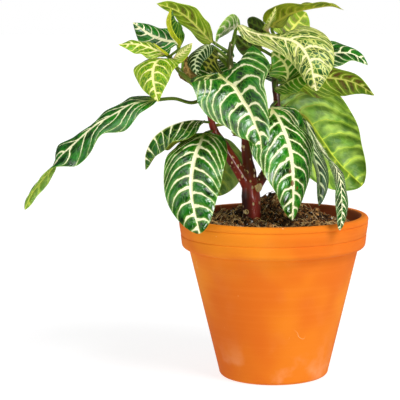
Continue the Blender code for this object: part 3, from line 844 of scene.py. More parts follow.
stem = add_piece("forked_stem", stem_shape, [bark], ["stem"], 180)
skin = stem.modifiers.new("one skin", "REMESH")
skin.mode = "VOXEL"
skin.voxel_size = VOXEL * MM
rub = stem.modifiers.new("rubbed smooth", "SMOOTH")
rub.factor = 0.5
rub.iterations = 8
settle_modifiers(stem)
stem.data.materials.clear()
stem.data.materials.append(bark)
stem.data.shade_smooth()
print("stem:", len(stem.data.polygons), "faces")

# %% [markdown]
# Old leaves leave a round scar with a raised cork rim, and a branch that was cut off at the fork leaves a
# larger one of pale wood. Each is a small disc, turned from a profile and pressed against the bark.

# %% Scars
SCAR_SIDES = 28
# Each scar has its place, the way it faces and its radius.
SCARS = [
    ((-25.8, -3.6, 194.0), (-0.4, -1.0, 0.1), 2.5),
    ((-25.4, -6.0, 157.0), (-0.6, -1.0, 0.0), 2.6),
    ((-13.5, -6.5, 180.0), (0.75, -0.6, -0.2), 4.4),
    ((-54.5, -14.2, 228.0), (0.0, -1.0, 0.1), 2.3),
]

scar_wood, scar_tree, scar_shader = new_finish("pale scar", 0.7)
place = put(scar_tree, "TexCoord").outputs["Object"]
patch = fade(scar_tree, cloud(scar_tree, place, 900, 3), 0.35, 0.65)
feed(scar_tree, scar_shader, Base_Color=tint(scar_tree, patch, colour(226, 176, 96), colour(255, 240, 180)))


def scar(place, facing, radius):
    """A shallow dish with a raised rim, pressed against the bark."""
    outline = ((0, -2.0), (0.8, -2.0), (1, 0.2), (0.8, 0.8), (0.55, 0.3), (0, 0.4))
    shape = turned([(radius * share, height) for share, height in outline], SCAR_SIDES)
    turn = Vector((0, 0, 1)).rotation_difference(Vector(facing)).to_matrix().to_4x4()
    matrix = Matrix.Translation(Vector(place) * MM) @ turn
    bmesh.ops.transform(shape, matrix=matrix, verts=shape.verts[:])
    return as_mesh(shape, "scar")


scar_shape = bmesh.new()
for where in SCARS:
    scar_shape.from_mesh(scar(*where))
add_piece("leaf_scars", scar_shape, [scar_wood], (), 60)
print("scars:", len(SCARS))

# %% [markdown]
# ## The vein pattern
# The stripes of a zebra plant are its veins. A cream midrib runs down the middle, side veins leave it in
# turn and arch towards the tip, and a fine net of small veins fills the green between. The pattern has to
# follow the leaf wherever it bends, so each blade carries three UV maps: "veins" counts the side veins
# along the leaf and gives the distance between two of them, "flat" is the real distance along and across in
# centimetres, and "share" is the share of the length and of the half width. One node group turns these into
# masks for all the leaves.

# %% Vein group
VEIN_INPUTS = ("Midrib mm", "Vein mm", "Fray mm", "Net mm", "Net cell mm", "Net cells")
VEIN_MASKS = ("Veins", "Net", "Glow", "Margin", "Between", "Outer")

veins_group = bpy.data.node_groups.new("leaf veins", "ShaderNodeTree")
for name in VEIN_INPUTS:
    veins_group.interface.new_socket(name, in_out="INPUT", socket_type="NodeSocketFloat")
for name in VEIN_MASKS:
    veins_group.interface.new_socket(name, in_out="OUTPUT", socket_type="NodeSocketFloat")


def build_vein_group(tree):
    """Widths in millimetres go in, masks of 0 to 1 come out."""
    given = tree.nodes.new("NodeGroupInput").outputs
    result = tree.nodes.new("NodeGroupOutput")
    veins = put(tree, "SeparateXYZ", {0: put(tree, "UVMap", uv_map="veins").outputs[0]})
    flat = put(tree, "UVMap", uv_map="flat").outputs[0]
    flat_axes = put(tree, "SeparateXYZ", {0: flat})
    share = put(tree, "SeparateXYZ", {0: put(tree, "UVMap", uv_map="share").outputs[0]})
    out = calc(tree, "ABSOLUTE", share.outputs["Y"])
    aside = times(tree, calc(tree, "ABSOLUTE", flat_axes.outputs["Y"]), 10.0)
    drift = times(tree, minus(tree, cloud(tree, flat, 0.8, 1), 0.5), 0.5)
    count = plus(tree, veins.outputs["X"], drift)
    nearest = minus(tree, calc(tree, "FRACT", plus(tree, count, 0.5)), 0.5)
    to_vein = times(tree, calc(tree, "ABSOLUTE", nearest), times(tree, veins.outputs["Y"], 10.0))
    ragged = minus(tree, cloud(tree, flat, 8.0, 3), 0.5)
    ragged = times(tree, ragged, times(tree, given["Fray mm"], 3.0))
    to_vein = plus(tree, to_vein, ragged)
    uneven = fade(tree, cloud(tree, flat, 1.6, 1), 0.3, 0.7, 0.65, 1.25)
    half = times(tree, times(tree, given["Vein mm"], 0.5), uneven)
    half = times(tree, half, fade(tree, out, 0.0, 0.9, 1.35, 0.4))
    half = plus(tree, half, fade(tree, aside, 1.0, 5.0, 0.45, 0.0))
    depth = minus(tree, half, to_vein)
    side_vein = fade(tree, depth, -0.3, 0.3)
    along = share.outputs["X"]
    swelling = fade(tree, along, 0.0, 0.3, 0.55, 1.0)
    girth = times(tree, swelling, fade(tree, along, 0.45, 1.0, 1.0, 0.35))
    mid_half = times(tree, times(tree, given["Midrib mm"], 0.5), girth)
    mid_depth = minus(tree, mid_half, plus(tree, aside, ragged))
    midrib = fade(tree, mid_depth, -0.35, 0.35)
    glow = calc(tree, "MAXIMUM", fade(tree, depth, -2.2, 0.2), fade(tree, mid_depth, -2.6, 0.0))
    cell = calc(tree, "DIVIDE", 10.0, given["Net cell mm"])
    down = times(tree, times(tree, flat_axes.outputs["Y"], cell), 0.8)
    over = times(tree, count, given["Net cells"])
    net_place = put(tree, "CombineXYZ", {"X": over, "Y": down}).outputs[0]
    cells = put(tree, "TexVoronoi", {"Vector": net_place, "Scale": 1.0}, feature="DISTANCE_TO_EDGE")
    from_edge = times(tree, cells.outputs[0], given["Net cell mm"])
    net_half = times(tree, given["Net mm"], 0.5)
    net = fade(tree, minus(tree, net_half, from_edge), -0.25, 0.15)
    half_width = calc(tree, "DIVIDE", aside, calc(tree, "MAXIMUM", out, 0.05))
    margin = fade(tree, minus(tree, half_width, aside), 0.2, 0.7, 1.0, 0.0)
    stripes = calc(tree, "MAXIMUM", side_vein, midrib)
    gaps = fade(tree, depth, -2.2, -0.6, 1.0, 0.0)
    outer = fade(tree, out, 0.45, 1.0)
    for name, value in zip(VEIN_MASKS, (stripes, net, glow, margin, gaps, outer)):
        tree.links.new(value, result.inputs[name])


build_vein_group(veins_group)
print("vein group:", len(veins_group.nodes), "nodes")

# %% [markdown]
# A leaf finish starts from its ground of two greens. The glow beside the veins, the net, the margin and
# then the veins themselves are mixed over it. Young leaves are lime, old ones deep green, and their
# undersides are pale, olive or stained plum, with veins that stand up where those on the upper side are
# sunk. A stain laid between the veins is real colour on the plum, olive and brown undersides, and painted
# shade in the hollows of the quilting on the light green ones.

# %% Leaf finish
SPOT_BROWN = colour(112, 58, 20)
SPOT_STRETCH = (1.6, 0.5, 0)


def leaf_finish(
    name,
    deep,
    bright,
    vein,
    outer_vein,
    net,
    midrib_mm=3.6,
    vein_mm=1.7,
    fray_mm=0.3,
    net_mm=0.35,
    net_cell_mm=4.0,
    net_cells=2.0,
    net_share=0.35,
    glow_share=0.3,
    margin_share=0.4,
    roughness=0.3,
    shine=0.35,
    raised=False,
    base=None,
    base_to=0.2,
    stalk=(96, 124, 26),
    spots=(),
    stain=None,
    stain_share=0.0,
    stain_from=0.5,
):
    """A striped leaf surface. The screen colours are two greens, then veins, their outer ends and net."""
    screens = (deep, bright, vein, outer_vein, net, stalk)
    deep, bright, vein, outer_vein, net, stalk = (colour(*screen) for screen in screens)
    made, tree, shader = new_finish(name, roughness)
    shader.inputs["Specular IOR Level"].default_value = shine
    widths = dict(zip(VEIN_INPUTS, (midrib_mm, vein_mm, fray_mm, net_mm, net_cell_mm, net_cells)))
    masks = put(tree, "Group", widths, node_tree=veins_group).outputs
    flat = put(tree, "UVMap", uv_map="flat").outputs[0]
    share = put(tree, "UVMap", uv_map="share").outputs[0]
    along = put(tree, "SeparateXYZ", {0: share}).outputs["X"]
    body = tint(tree, fade(tree, cloud(tree, flat, 0.8, 3), 0.35, 0.65), deep, bright)
    # A stain in the hollows between the veins: real pigment on the brown and plum undersides, painted shade
    # on the light green ones.
    if stain:
        stain_and_shade_blot = fade(tree, cloud(tree, flat, 0.45, 2), 0.36, 0.56)
        stain_and_shade_blot = times(tree, stain_and_shade_blot, masks["Between"])
        stain_and_shade_blot = times(tree, stain_and_shade_blot, fade(tree, along, stain_from, stain_from + 0.4, 1.0, 0.15))
        body = tint(tree, times(tree, stain_and_shade_blot, stain_share), body, colour(*stain))
    body = tint(tree, times(tree, masks["Glow"], glow_share), body, outer_vein)
    body = tint(tree, times(tree, masks["Net"], net_share), body, net)
    body = tint(tree, times(tree, masks["Margin"], margin_share), body, outer_vein)
    stripe = tint(tree, times(tree, masks["Outer"], 0.6), vein, outer_vein)
    if base:
        stripe = tint(tree, fade(tree, along, 0.02, base_to, 1.0, 0.0), stripe, colour(*base))
    body = tint(tree, masks["Veins"], body, stripe)
    body = tint(tree, fade(tree, along, -0.6, -0.1, 1.0, 0.0), body, stalk)
    for where, across, radius in spots:
        off = put(tree, "VectorMath", {0: share, 1: (where, across, 0)}, operation="SUBTRACT").outputs[0]
        off = stretch(tree, off, SPOT_STRETCH)
        size = put(tree, "VectorMath", {0: off}, operation="LENGTH").outputs["Value"]
        size = plus(tree, size, times(tree, cloud(tree, flat, 6.0, 2), 0.03))
        body = tint(tree, fade(tree, size, radius, radius + 0.02, 0.85, 0.0), body, SPOT_BROWN)
    sign = 1.0 if raised else -1.0
    height = times(tree, masks["Veins"], 0.6 * sign)
    height = plus(tree, height, times(tree, masks["Net"], 0.35 * sign))
    height = plus(tree, height, times(tree, cloud(tree, flat, 4.0, 2), 0.4))
    gloss = fade(tree, masks["Veins"], 0.0, 1.0, roughness, roughness + 0.15)
    feed(tree, shader, Base_Color=body, Roughness=gloss, Normal=relief(tree, height, 0.4, 0.8))
    return made


# %% [markdown]
# The upper sides differ in their greens, in how wide and how close together their stripes are, and in gloss.
# The old leaves in front are the glossiest, and the small ones in their shade have hardly any stripes.

# %% Upper side finishes
CREAM = (246, 243, 196)
GREEN_VEIN = (120, 178, 48)

striped = leaf_finish(
    "striped leaf", (0, 44, 0), (14, 112, 2), CREAM, GREEN_VEIN, (70, 140, 40), vein_mm=1.3, midrib_mm=2.6,
    glow_share=0.22, roughness=0.18, shine=0.7, base=(150, 170, 60), stalk=(88, 110, 26),
)
glossy = leaf_finish(
    "glossy striped leaf", (0, 36, 0), (12, 102, 0), CREAM, (140, 190, 60), (80, 150, 44), midrib_mm=4.0,
    vein_mm=1.8, fray_mm=0.35, glow_share=0.28, roughness=0.15, shine=0.8, base=(140, 156, 50),
)
sparse = leaf_finish(
    "sparsely striped leaf", (4, 66, 0), (24, 130, 6), CREAM, (70, 130, 30), (70, 130, 30), midrib_mm=3.0,
    vein_mm=0.7, glow_share=0.12, roughness=0.2, shine=0.6,
)
bold = leaf_finish(
    "boldly striped leaf", (0, 40, 0), (18, 112, 0), CREAM, (150, 196, 70), (100, 168, 54), midrib_mm=4.4,
    vein_mm=2.0, fray_mm=0.45, glow_share=0.25, roughness=0.24, shine=0.8, base=(206, 208, 120),
)
blotched = leaf_finish(
    "boldly striped old leaf", (0, 44, 0), (24, 122, 2), CREAM, (156, 200, 76), (106, 172, 58),
    midrib_mm=4.2, vein_mm=1.8, fray_mm=0.45, glow_share=0.25, roughness=0.15, shine=0.8,
    base=(226, 222, 150), spots=[(0.7, 0.05, 0.045), (0.6, 0.1, 0.03), (0.74, -0.2, 0.03)],
)
netted = leaf_finish(
    "netted leaf", (0, 40, 0), (8, 84, 2), CREAM, (140, 180, 60), (150, 184, 70), midrib_mm=2.6,
    vein_mm=1.0, net_mm=0.45, net_cell_mm=6.5, net_cells=1.0, net_share=0.4, glow_share=0.12,
    roughness=0.26, shine=0.5,
)
fine_netted = leaf_finish(
    "finely netted leaf", (0, 48, 4), (4, 96, 8), CREAM, (150, 180, 100), (206, 218, 150), midrib_mm=1.5,
    vein_mm=0.6, net_mm=0.3, net_cell_mm=6.0, net_share=0.4, glow_share=0.05, margin_share=0.1,
    roughness=0.26,
)
bright_young = leaf_finish(
    "bright young leaf", (16, 100, 2), (76, 158, 8), (240, 244, 150), (180, 210, 60), (130, 170, 40),
    midrib_mm=1.6, vein_mm=0.9, glow_share=0.2, roughness=0.28,
)
deep_young = leaf_finish(
    "deep green young leaf", (8, 60, 2), (30, 92, 4), (150, 176, 50), (90, 140, 20), (90, 140, 30),
    midrib_mm=1.4, vein_mm=0.8,
)
shaded = leaf_finish(
    "shaded leaf", (0, 32, 2), (2, 62, 4), (206, 218, 166), (130, 160, 80), (40, 80, 20), midrib_mm=1.5,
    vein_mm=0.8, net_share=0.1, glow_share=0.05, margin_share=0.1, shine=0.3,
)
olive_striped = leaf_finish(
    "olive striped leaf", (6, 34, 2), (24, 58, 6), (166, 168, 62), (130, 140, 40), (60, 80, 16),
    midrib_mm=1.8, vein_mm=1.1, net_share=0.2, glow_share=0.2, shine=0.3,
)
lime = leaf_finish(
    "lime leaf", (26, 94, 0), (84, 146, 2), (246, 242, 160), (190, 210, 44), (176, 198, 30), midrib_mm=2.8,
    vein_mm=1.2, net_mm=0.45, net_cell_mm=2.8, net_cells=3.0, net_share=0.6, roughness=0.36, shine=0.4,
    base=(206, 170, 120), stalk=(150, 160, 40),
)
pale = leaf_finish(
    "pale mottled leaf", (8, 66, 0), (56, 108, 4), (242, 236, 174), (208, 214, 112), (208, 214, 112),
    midrib_mm=2.8, vein_mm=1.3, fray_mm=0.4, net_mm=0.42, net_cell_mm=3.4, net_cells=4.2, net_share=0.9,
    margin_share=0.5, roughness=0.32, shine=0.4, spots=[(0.1, 0.1, 0.02), (0.68, -0.3, 0.012)],
)
# Partly painted sheen: the pale ground is this young leaf's own lighter green and also stands in for its
# glossy sheen.
pale_young_and_sheen = leaf_finish(
    "pale young leaf with painted sheen", (60, 134, 14), (116, 172, 44), (246, 246, 206), (204, 222, 120), (206, 222, 160),
    midrib_mm=2.4, vein_mm=1.5,
)
print("leaf finish:", len(striped.node_tree.nodes), "nodes")

# %% [markdown]
# Undersides have no gloss and hardly any stripes. Their veins stand up instead of lying in furrows.

# %% Underside finishes


def underside(name, *colours, midrib_mm=2.2, vein_mm=0.9, fray_mm=0.1, roughness=0.5, **more):
    """The lower side of a leaf, with its colours in the order of leaf_finish."""
    widths = {"midrib_mm": midrib_mm, "vein_mm": vein_mm, "fray_mm": fray_mm}
    return leaf_finish(name, *colours, roughness=roughness, raised=True, **widths, **more)


# Painted shade: the dark green stain shades the hollows between the raised veins.
light_under = underside(
    "light underside", (104, 148, 34), (150, 184, 74), (176, 192, 66), (166, 190, 72), (160, 186, 78),
    midrib_mm=2.4, vein_mm=0.7, net_share=0.4, roughness=0.45, base=(120, 84, 60), stain=(58, 104, 16),
    stain_share=0.6, stain_from=0.9,
)
# Painted shade: the dark green stain shades the hollows between the raised veins.
broad_under = underside(
    "broad light underside", (110, 158, 30), (172, 206, 78), (206, 224, 70), (170, 196, 50), (160, 190, 64),
    midrib_mm=1.6, vein_mm=0.5, net_share=0.2, glow_share=0.1, roughness=0.42, base=(112, 60, 36),
    base_to=0.5, stain=(44, 92, 12), stain_share=0.75, stain_from=0.85,
)
olive_under = underside(
    "olive underside", (92, 116, 2), (146, 164, 12), (178, 176, 56), (146, 156, 40), (146, 152, 46),
    stain=(84, 58, 20), stain_share=0.6, stain_from=0.9,
)
plum_under = underside(
    "plum stained underside", (70, 122, 0), (128, 168, 8), (228, 232, 110), (160, 184, 44), (150, 180, 46),
    fray_mm=0.15, roughness=0.4, stain=(104, 58, 40), stain_share=0.95, stain_from=0.75,
)
dark_under = underside(
    "dark olive underside", (36, 62, 4), (64, 90, 10), (100, 124, 26), (80, 108, 20), (80, 108, 28),
    midrib_mm=1.6, vein_mm=0.6, stain=(70, 44, 16), stain_share=0.7, stain_from=0.9,
)
ruddy_under = underside(
    "ruddy underside", (78, 70, 16), (124, 96, 34), (176, 140, 76), (150, 116, 56), (120, 110, 50),
    midrib_mm=1.8, vein_mm=0.6,
)
fresh_under = underside(
    "fresh olive underside", (104, 150, 2), (158, 194, 14), (228, 230, 104), (174, 196, 44), (156, 186, 44),
    fray_mm=0.15, roughness=0.4, stain=(96, 66, 34), stain_share=0.75, stain_from=0.6,
)
yellow_under = underside(
    "yellow underside", (160, 180, 4), (198, 204, 12), (212, 212, 50), (190, 200, 20), (188, 196, 26),
    vein_mm=0.7, roughness=0.42,
)
print("finishes:", len(bpy.data.materials))

# %% [markdown]
# ## Growing a leaf
# A leaf is a flat grid laid along its midrib line. Each point of the grid carries layers that tell where it
# is on the leaf, and the next steps read them. Between two side veins a real blade bulges, as a quilt does
# between its seams, and the light catches these bulges, so they are in the mesh and not only in the bump.

# %% Quilting
LAYERS = ("across", "along", "count", "spacing", "x", "y", "number")
VEIN_SHIFT = 0.45


def quilt_blade(shape, layers, quilt):
    """Raises the blade between its side veins, which leave the midrib by turns left and right."""
    shape.normal_update()
    for vert in shape.verts:
        q = abs(vert[layers["across"]])
        if vert[layers["along"]] >= 0:
            shift = VEIN_SHIFT if vert[layers["across"]] > 0 else 0.0
            bulge = abs(math.sin(math.pi * (vert[layers["count"]] + shift))) ** 0.8
            swell = math.sin(math.pi * q) ** 0.7 * min(1.0, vert[layers["spacing"]] / 8)
            vert.co += vert.normal * quilt * bulge * swell * MM


# %% [markdown]
# A blade is thin, its midrib has a keel below that fades towards the tip, and its stalk is round below. So
# the sheet grows downwards by a thickness that depends on the place. What grew gets the lower side's finish.

# %% Thickness
STALK_EDGE = 0.4
STALK_THICKNESS = 1.9
BLADE_THICKNESS = 0.5
KEEL_HEIGHT = 1.5
KEEL_HALF_WIDTH = 1.5


def thicken(shape, layers):
    """Grows the sheet into a closed shape."""
    shape.normal_update()
    bottoms = []
    for i, vert in enumerate(shape.verts):
        vert[layers["number"]] = i
        across, along, aside = vert[layers["across"]], vert[layers["along"]], abs(vert[layers["y"]])
        if along < 0:
            thick = STALK_EDGE + STALK_THICKNESS * math.sqrt(max(0.0, 1 - across * across))
        else:
            keel = math.exp(-((aside / KEEL_HALF_WIDTH) ** 2)) * (1 - 0.9 * max(0.0, along))
            thick = (BLADE_THICKNESS + KEEL_HEIGHT * keel) * min(1.0, 0.4 + 4 * (1 - along))
        bottoms.append(vert.co - vert.normal * thick * MM)
    upper_faces = set(shape.faces)
    grown = bmesh.ops.extrude_face_region(shape, geom=shape.faces[:])
    for item in grown["geom"]:
        if isinstance(item, bmesh.types.BMVert):
            item.co = bottoms[round(item[layers["number"]])]
    for face in shape.faces:
        face.material_index = 0 if face in upper_faces else 1


# %% [markdown]
# The three UV maps of the vein pattern are laid last, so both sides of the leaf get them. Every leaf starts
# its flat map somewhere else, so that no two leaves have the same clouds.

# %% UV maps
FLAT_STEP = 31


def lay_maps(shape, layers, leaf_number):
    maps = {key: shape.loops.layers.uv.new(key) for key in ("veins", "flat", "share")}
    for face in shape.faces:
        middle = sum(vert[layers["across"]] for vert in face.verts)
        shift = VEIN_SHIFT if middle > 0 else 0.0
        for loop in face.loops:
            vert = loop.vert
            loop[maps["veins"]].uv = (vert[layers["count"]] + shift, vert[layers["spacing"]] / 10)
            ahead, aside = vert[layers["x"]] / 10, vert[layers["y"]] / 10
            loop[maps["flat"]].uv = (ahead + FLAT_STEP * leaf_number, aside)
            loop[maps["share"]].uv = (vert[layers["along"]], vert[layers["across"]])


# %% [markdown]
# Each row of the grid gets its width from a swelling formula, folds up from the midrib, curls down to the
# margin and rolls about the midrib. The side veins are counted by a formula too, which gives the distance
# between two of them at every point.

# %% Leaf builder
STALK_HALF_WIDTH = 1.5
STALK_BITE = 1.0
ROWS_PER_VEIN = 8
FEWEST_ROWS = 30
MOST_ROWS = 100
WIDE_LEAF = 30
WIDE_COLUMNS = 28
NARROW_COLUMNS = 20
leaf_count = 0


def grow_leaf(
    name,
    on,
    route,
    width,
    top=striped,
    under=light_under,
    roll=(0,),
    fold=(12, 12),
    curl=(35, 35),
    cup=0,
    face=(0, 0, 1),
    wave=(1.5, 2.5, 0.0),
    base=0.72,
    point=0.95,
    sweep=0.14,
    stalk=(),
    stalk_half=STALK_HALF_WIDTH,
    spacing=10.5,
    arch=0.38,
    fan=2.5,
    quilt=0.5,
    bow=1.6,
    trim=((1,), (1,)),
):
    """Makes one leaf where the frame's leaf of that name is.

    on: branch and place along its points. route: blade base, points along the midrib and tip.
    roll, fold, curl, cup, face, wave, base, point and sweep shape the blade. trim widens or narrows
    its left and right halves along the way.
    spacing: distance between side veins. arch: how far they run forward, as a share of the length.
    bow: how late they turn. fan: how many leave the base on each side.
    quilt: height of the bulges between them.
    """
    global leaf_count
    leaf_count += 1
    branch, place = on
    line = branch_lines[branch]
    centre, way, _ = line.at(line.distance_of(place))
    first = Vector(stalk[0] if stalk else route[0])
    toward = (first - centre).normalized()
    outward = (toward - way * toward.dot(way)).normalized()
    radius = between(BRANCH_RADII[branch], line.distance_of(place) / line.length)
    start = centre + outward * (radius - STALK_BITE)
    rib = Line([start, *stalk, *route], up=face, level_at=1 + len(stalk))
    blade_start = rib.distance_of(1 + len(stalk))
    blade_length = rib.length - blade_start
    widest = base / (base + point)
    vein_count = max(4, round(blade_length / spacing))
    rows = min(MOST_ROWS, max(FEWEST_ROWS, vein_count * ROWS_PER_VEIN))
    stalk_rows = max(6, round(blade_start / 2.5))
    columns = WIDE_COLUMNS if width > WIDE_LEAF else NARROW_COLUMNS

    def half_width(share):
        if share <= 0:
            return stalk_half
        swell = (share / widest) ** base * ((1 - share) / (1 - widest)) ** point if share < 1 else 0.0
        return width / 2 * swell + stalk_half * (1 - share) ** 3

    def vein_number(share, q):
        """Counts the side veins. Below the first one they fan out from the blade's base."""
        forward = max(0.001, arch * q**bow)
        if share >= forward:
            return vein_count * (share - forward) / (1 - forward)
        return -fan * (1 - max(share, 0.0) / forward)

    def vein_spacing(share, q):
        """Distance between two side veins here, in millimetres."""
        step = 0.004
        along_rate = vein_number(share + step, q) - vein_number(share - step, q)
        along_rate = along_rate / (2 * step) / blade_length
        out_rate = vein_number(share, q + step) - vein_number(share, max(0, q - step))
        out_rate = out_rate / (step + min(step, q)) / max(half_width(share), 1.0)
        return min(30.0, max(2.0, 1 / max(1e-4, math.hypot(along_rate, out_rate))))

    shape = bmesh.new()
    total = stalk_rows + rows
    bmesh.ops.create_grid(shape, x_segments=total, y_segments=columns, size=1)
    layers = {key: shape.verts.layers.float.new(key) for key in LAYERS}
    for vert in shape.verts:
        row = round((vert.co.x + 1) / 2 * total) - stalk_rows
        v = math.copysign(abs(vert.co.y) ** 1.2, vert.co.y)
        q = abs(v)
        if row < 0:
            share = 0.0
            distance = blade_start * (1 + row / stalk_rows)
        else:
            share = row / rows
            share += sweep * math.sin(math.pi * share) ** 0.8 * q**1.6 if 0 < row < rows else 0.0
            distance = blade_start + share * blade_length
        point_at, way, up = rib.at(distance)
        turn = math.radians(between(roll, share))
        side = way.cross(up)
        upper = up * math.cos(turn) + side * math.sin(turn)
        side = way.cross(upper)
        hand = 1 if v > 0 else 0
        spread = min(1.0, share * 6)
        angle = math.radians(fold[hand] + cup * (1 - share) ** 3 - curl[hand] * q / 2) * spread
        reach = half_width(share) * between(trim[hand], share) * q
        height, waves, phase = wave
        crest = math.sin(math.tau * (waves * share + phase + 0.35 * hand))
        ripple = height * q * q * crest * math.sin(math.pi * min(share, 1.0))
        lateral = reach * math.cos(angle) * (1 if v > 0 else -1)
        number = vein_number(share, q) if row >= 0 else 0.5
        vert.co = (point_at + side * lateral + upper * (reach * math.sin(angle) + ripple)) * MM
        vert[layers["across"]] = v
        vert[layers["along"]] = share if row >= 0 else -1.0
        vert[layers["count"]] = number
        vert[layers["spacing"]] = vein_spacing(share, q) if row >= 0 else 30.0
        vert[layers["x"]] = distance - blade_start
        vert[layers["y"]] = reach * (1 if v > 0 else -1)
    tip = [vert for vert in shape.verts if vert[layers["along"]] > 0.999]
    bmesh.ops.pointmerge(shape, verts=tip, merge_co=rib.at(rib.length)[0] * MM)
    bmesh.ops.reverse_faces(shape, faces=shape.faces[:])
    quilt_blade(shape, layers, quilt)
    thicken(shape, layers)
    lay_maps(shape, layers, leaf_count)
    bmesh.ops.recalc_face_normals(shape, faces=shape.faces[:])
    return add_piece(f"striped_{name}", shape, [top, under], [name], 50)


print("leaf builder: up to", MOST_ROWS, "rows of", WIDE_COLUMNS, "columns")

# %% [markdown]
# ## The leaves
# Each leaf stands where the frame's solid of that name stands, so its points repeat that solid's midrib.
# What differs from leaf to leaf is the finish of its two sides, the number of veins and how strongly it is
# quilted.

# %% [markdown]
# The left branch carries the long winged leaf that reaches out, the big hanging leaf over the rim and the
# lime young leaves at its top.

# %% Leaves of the left branch
grow_leaf(
    "leaf_left_1", on=("left", 3.0),
    route=[
        (-64, -22, 233), (-67, -36, 225), (-71, -52, 215), (-74, -66, 196), (-73, -74, 177),
        (-66, -82, 148),
    ],
    width=58, top=glossy, fold=(14, 14), curl=(40, 40), wave=(1.5, 2.5, 0.1), base=0.42, point=0.6,
    spacing=12.5, quilt=1.7, arch=0.42, bow=1.9,
)
grow_leaf(
    "leaf_left_2", on=("left", 3.05), route=[(-55, 8, 227), (-48, 24, 200), (-55, 34, 167)], width=44,
    roll=(0, 10), base=0.5, point=0.7,
)
grow_leaf(
    "leaf_left_3", on=("left", 3.5),
    route=[
        (-65, -16, 244), (-75, -20, 245), (-88, -26, 243), (-102, -30, 237), (-112, -34, 228),
        (-118, -36, 214), (-118, -38, 200),
    ],
    width=44, top=netted, under=olive_under, fold=(-30, -62), curl=(10, 10), base=0.55, point=0.8,
    spacing=11, quilt=0.9, arch=0.35, bow=1.4,
)
grow_leaf(
    "leaf_left_4", on=("left", 3.2), route=[(-39, 0, 240), (-32, -6, 236), (-26, -10, 226)], width=16,
    top=lime, roll=(60,),
)
grow_leaf(
    "leaf_left_5", on=("left", 5.0), stalk=[(-77, -9, 261), (-92, -12, 265)],
    route=[
        (-108, -14, 264), (-119, -15, 262), (-131, -18, 260), (-145, -20, 252), (-154, -22, 247),
        (-164, -24, 241), (-175, -26, 232), (-186, -28, 222), (-197, -30, 212), (-207, -32, 199),
        (-217, -34, 187), (-224, -35, 177), (-230, -36, 163),
    ],
    width=46, stalk_half=2.8, roll=(-24, -22, -24, -26, 30, 46), fold=(0, 0), curl=(30, 30),
    wave=(2.5, 3.0, 0.0),
    trim=(
        (0.9, 1.0, 1.1, 0.7, 0.95, 0.95, 0.4, 0.8, 1.2),
        (0.7, 1.5, 1.15, 0.4, 0.9, 1.25, 0.45, 0.8, 1.2),
    ),
    base=0.6, point=0.8, spacing=19.0, arch=0.3, quilt=1.0, bow=1.3,
)
grow_leaf(
    "leaf_left_6", on=("left", 6.0), route=[(-64, 26, 280), (-56, 50, 291), (-48, 74, 296)], width=46,
    fold=(20, 20),
)
grow_leaf(
    "leaf_left_7", on=("left", 7.9),
    route=[(-101, -4, 301), (-108, -14, 299), (-111, -24, 290), (-110, -28, 278), (-106, -30, 262)],
    width=44, top=lime, fold=(8, 8), curl=(30, 30), base=0.42, point=1.0, spacing=9.5,
    arch=0.42, bow=1.9,
)
grow_leaf(
    "leaf_left_8", on=("left", 7.3), route=[(-86, 15, 297), (-81, 20, 287), (-79, 22, 276)], width=26,
    top=ruddy_under, under=ruddy_under, roll=(-80,), wave=(0.4, 1.5, 0.0),
)
grow_leaf(
    "leaf_left_9", on=("left", 8.1),
    route=[(-91, 20, 314), (-103, 26, 317), (-115, 30, 321), (-125, 32, 327), (-134, 30, 334)], width=32,
    top=sparse, roll=(-32,), fold=(0, 0), base=0.55, spacing=9, arch=0.5, quilt=1.2,
)
grow_leaf(
    "leaf_left_10", on=("left", 8.6),
    route=[(-101, 5, 305), (-114, 4, 310), (-127, 2, 314), (-145, 0, 314)], width=26, top=lime,
    roll=(-28, -30), fold=(5, 5), spacing=9.5, arch=0.45,
)
grow_leaf(
    "leaf_left_11", on=("left", 8.8), route=[(-87, 2, 312), (-95, -3, 323), (-99, -6, 335), (-95, -8, 348)],
    width=24, top=deep_young, under=yellow_under, face=(1, -0.2, 0), fold=(50, 72), curl=(10, 10),
    wave=(0.5, 1.5, 0.0), quilt=0.2, spacing=6, arch=0.5,
)
grow_leaf(
    "leaf_left_12", on=("left", 8.4), route=[(-93, -8, 302), (-83, -14, 308), (-75, -16, 316)], width=26,
    top=lime, under=yellow_under, face=(0, -5, 4), wave=(0.3, 1.5, 0.0), quilt=0.2,
    spacing=3.5, arch=0.6,
)
grow_leaf(
    "leaf_left_13", on=("left", 9.0), route=[(-99, -9, 306), (-104, -14, 310), (-111, -17, 316)], width=6,
    top=lime, under=yellow_under, roll=(-30,), fold=(30, 30), wave=(0.2, 1.5, 0.0),
    quilt=0.2,
)
print("leaves so far:", leaf_count)

# %% [markdown]
# The middle branch carries the big heart shaped leaf in front and the pale mottled one beside it.

# %% Leaves of the middle branch
grow_leaf(
    "leaf_middle_1", on=("middle", 5.0), route=[(-30, 26, 268), (-36, 58, 270), (-42, 90, 250)], width=46,
)
grow_leaf(
    "leaf_middle_2", on=("middle", 6.8),
    route=[
        (-50, -12, 287), (-44, -24, 281), (-35, -36, 275), (-28, -48, 265), (-21, -58, 255),
        (-16, -64, 243), (-12, -67, 233), (-11, -68, 222),
    ],
    width=78, top=bold, roll=(8, 33, 20), fold=(28, 22), curl=(20, 20), cup=28, wave=(2.5, 2.0, 0.0),
    trim=((1.05, 1.05, 1.05, 1.1, 0.75, 0.65, 0.7, 1.0), (1.0,)), base=0.3, point=0.8, sweep=0.0,
    spacing=14.5, arch=0.52, fan=3, quilt=1.7, bow=2.1,
)
grow_leaf(
    "leaf_middle_3", on=("middle", 7.5), route=[(-52, 3, 302), (-58, 4, 298), (-64, 4, 290)], width=40,
    top=olive_striped, under=olive_striped, roll=(-52,), wave=(0.5, 1.5, 0.0), spacing=4.5, quilt=0.3,
)
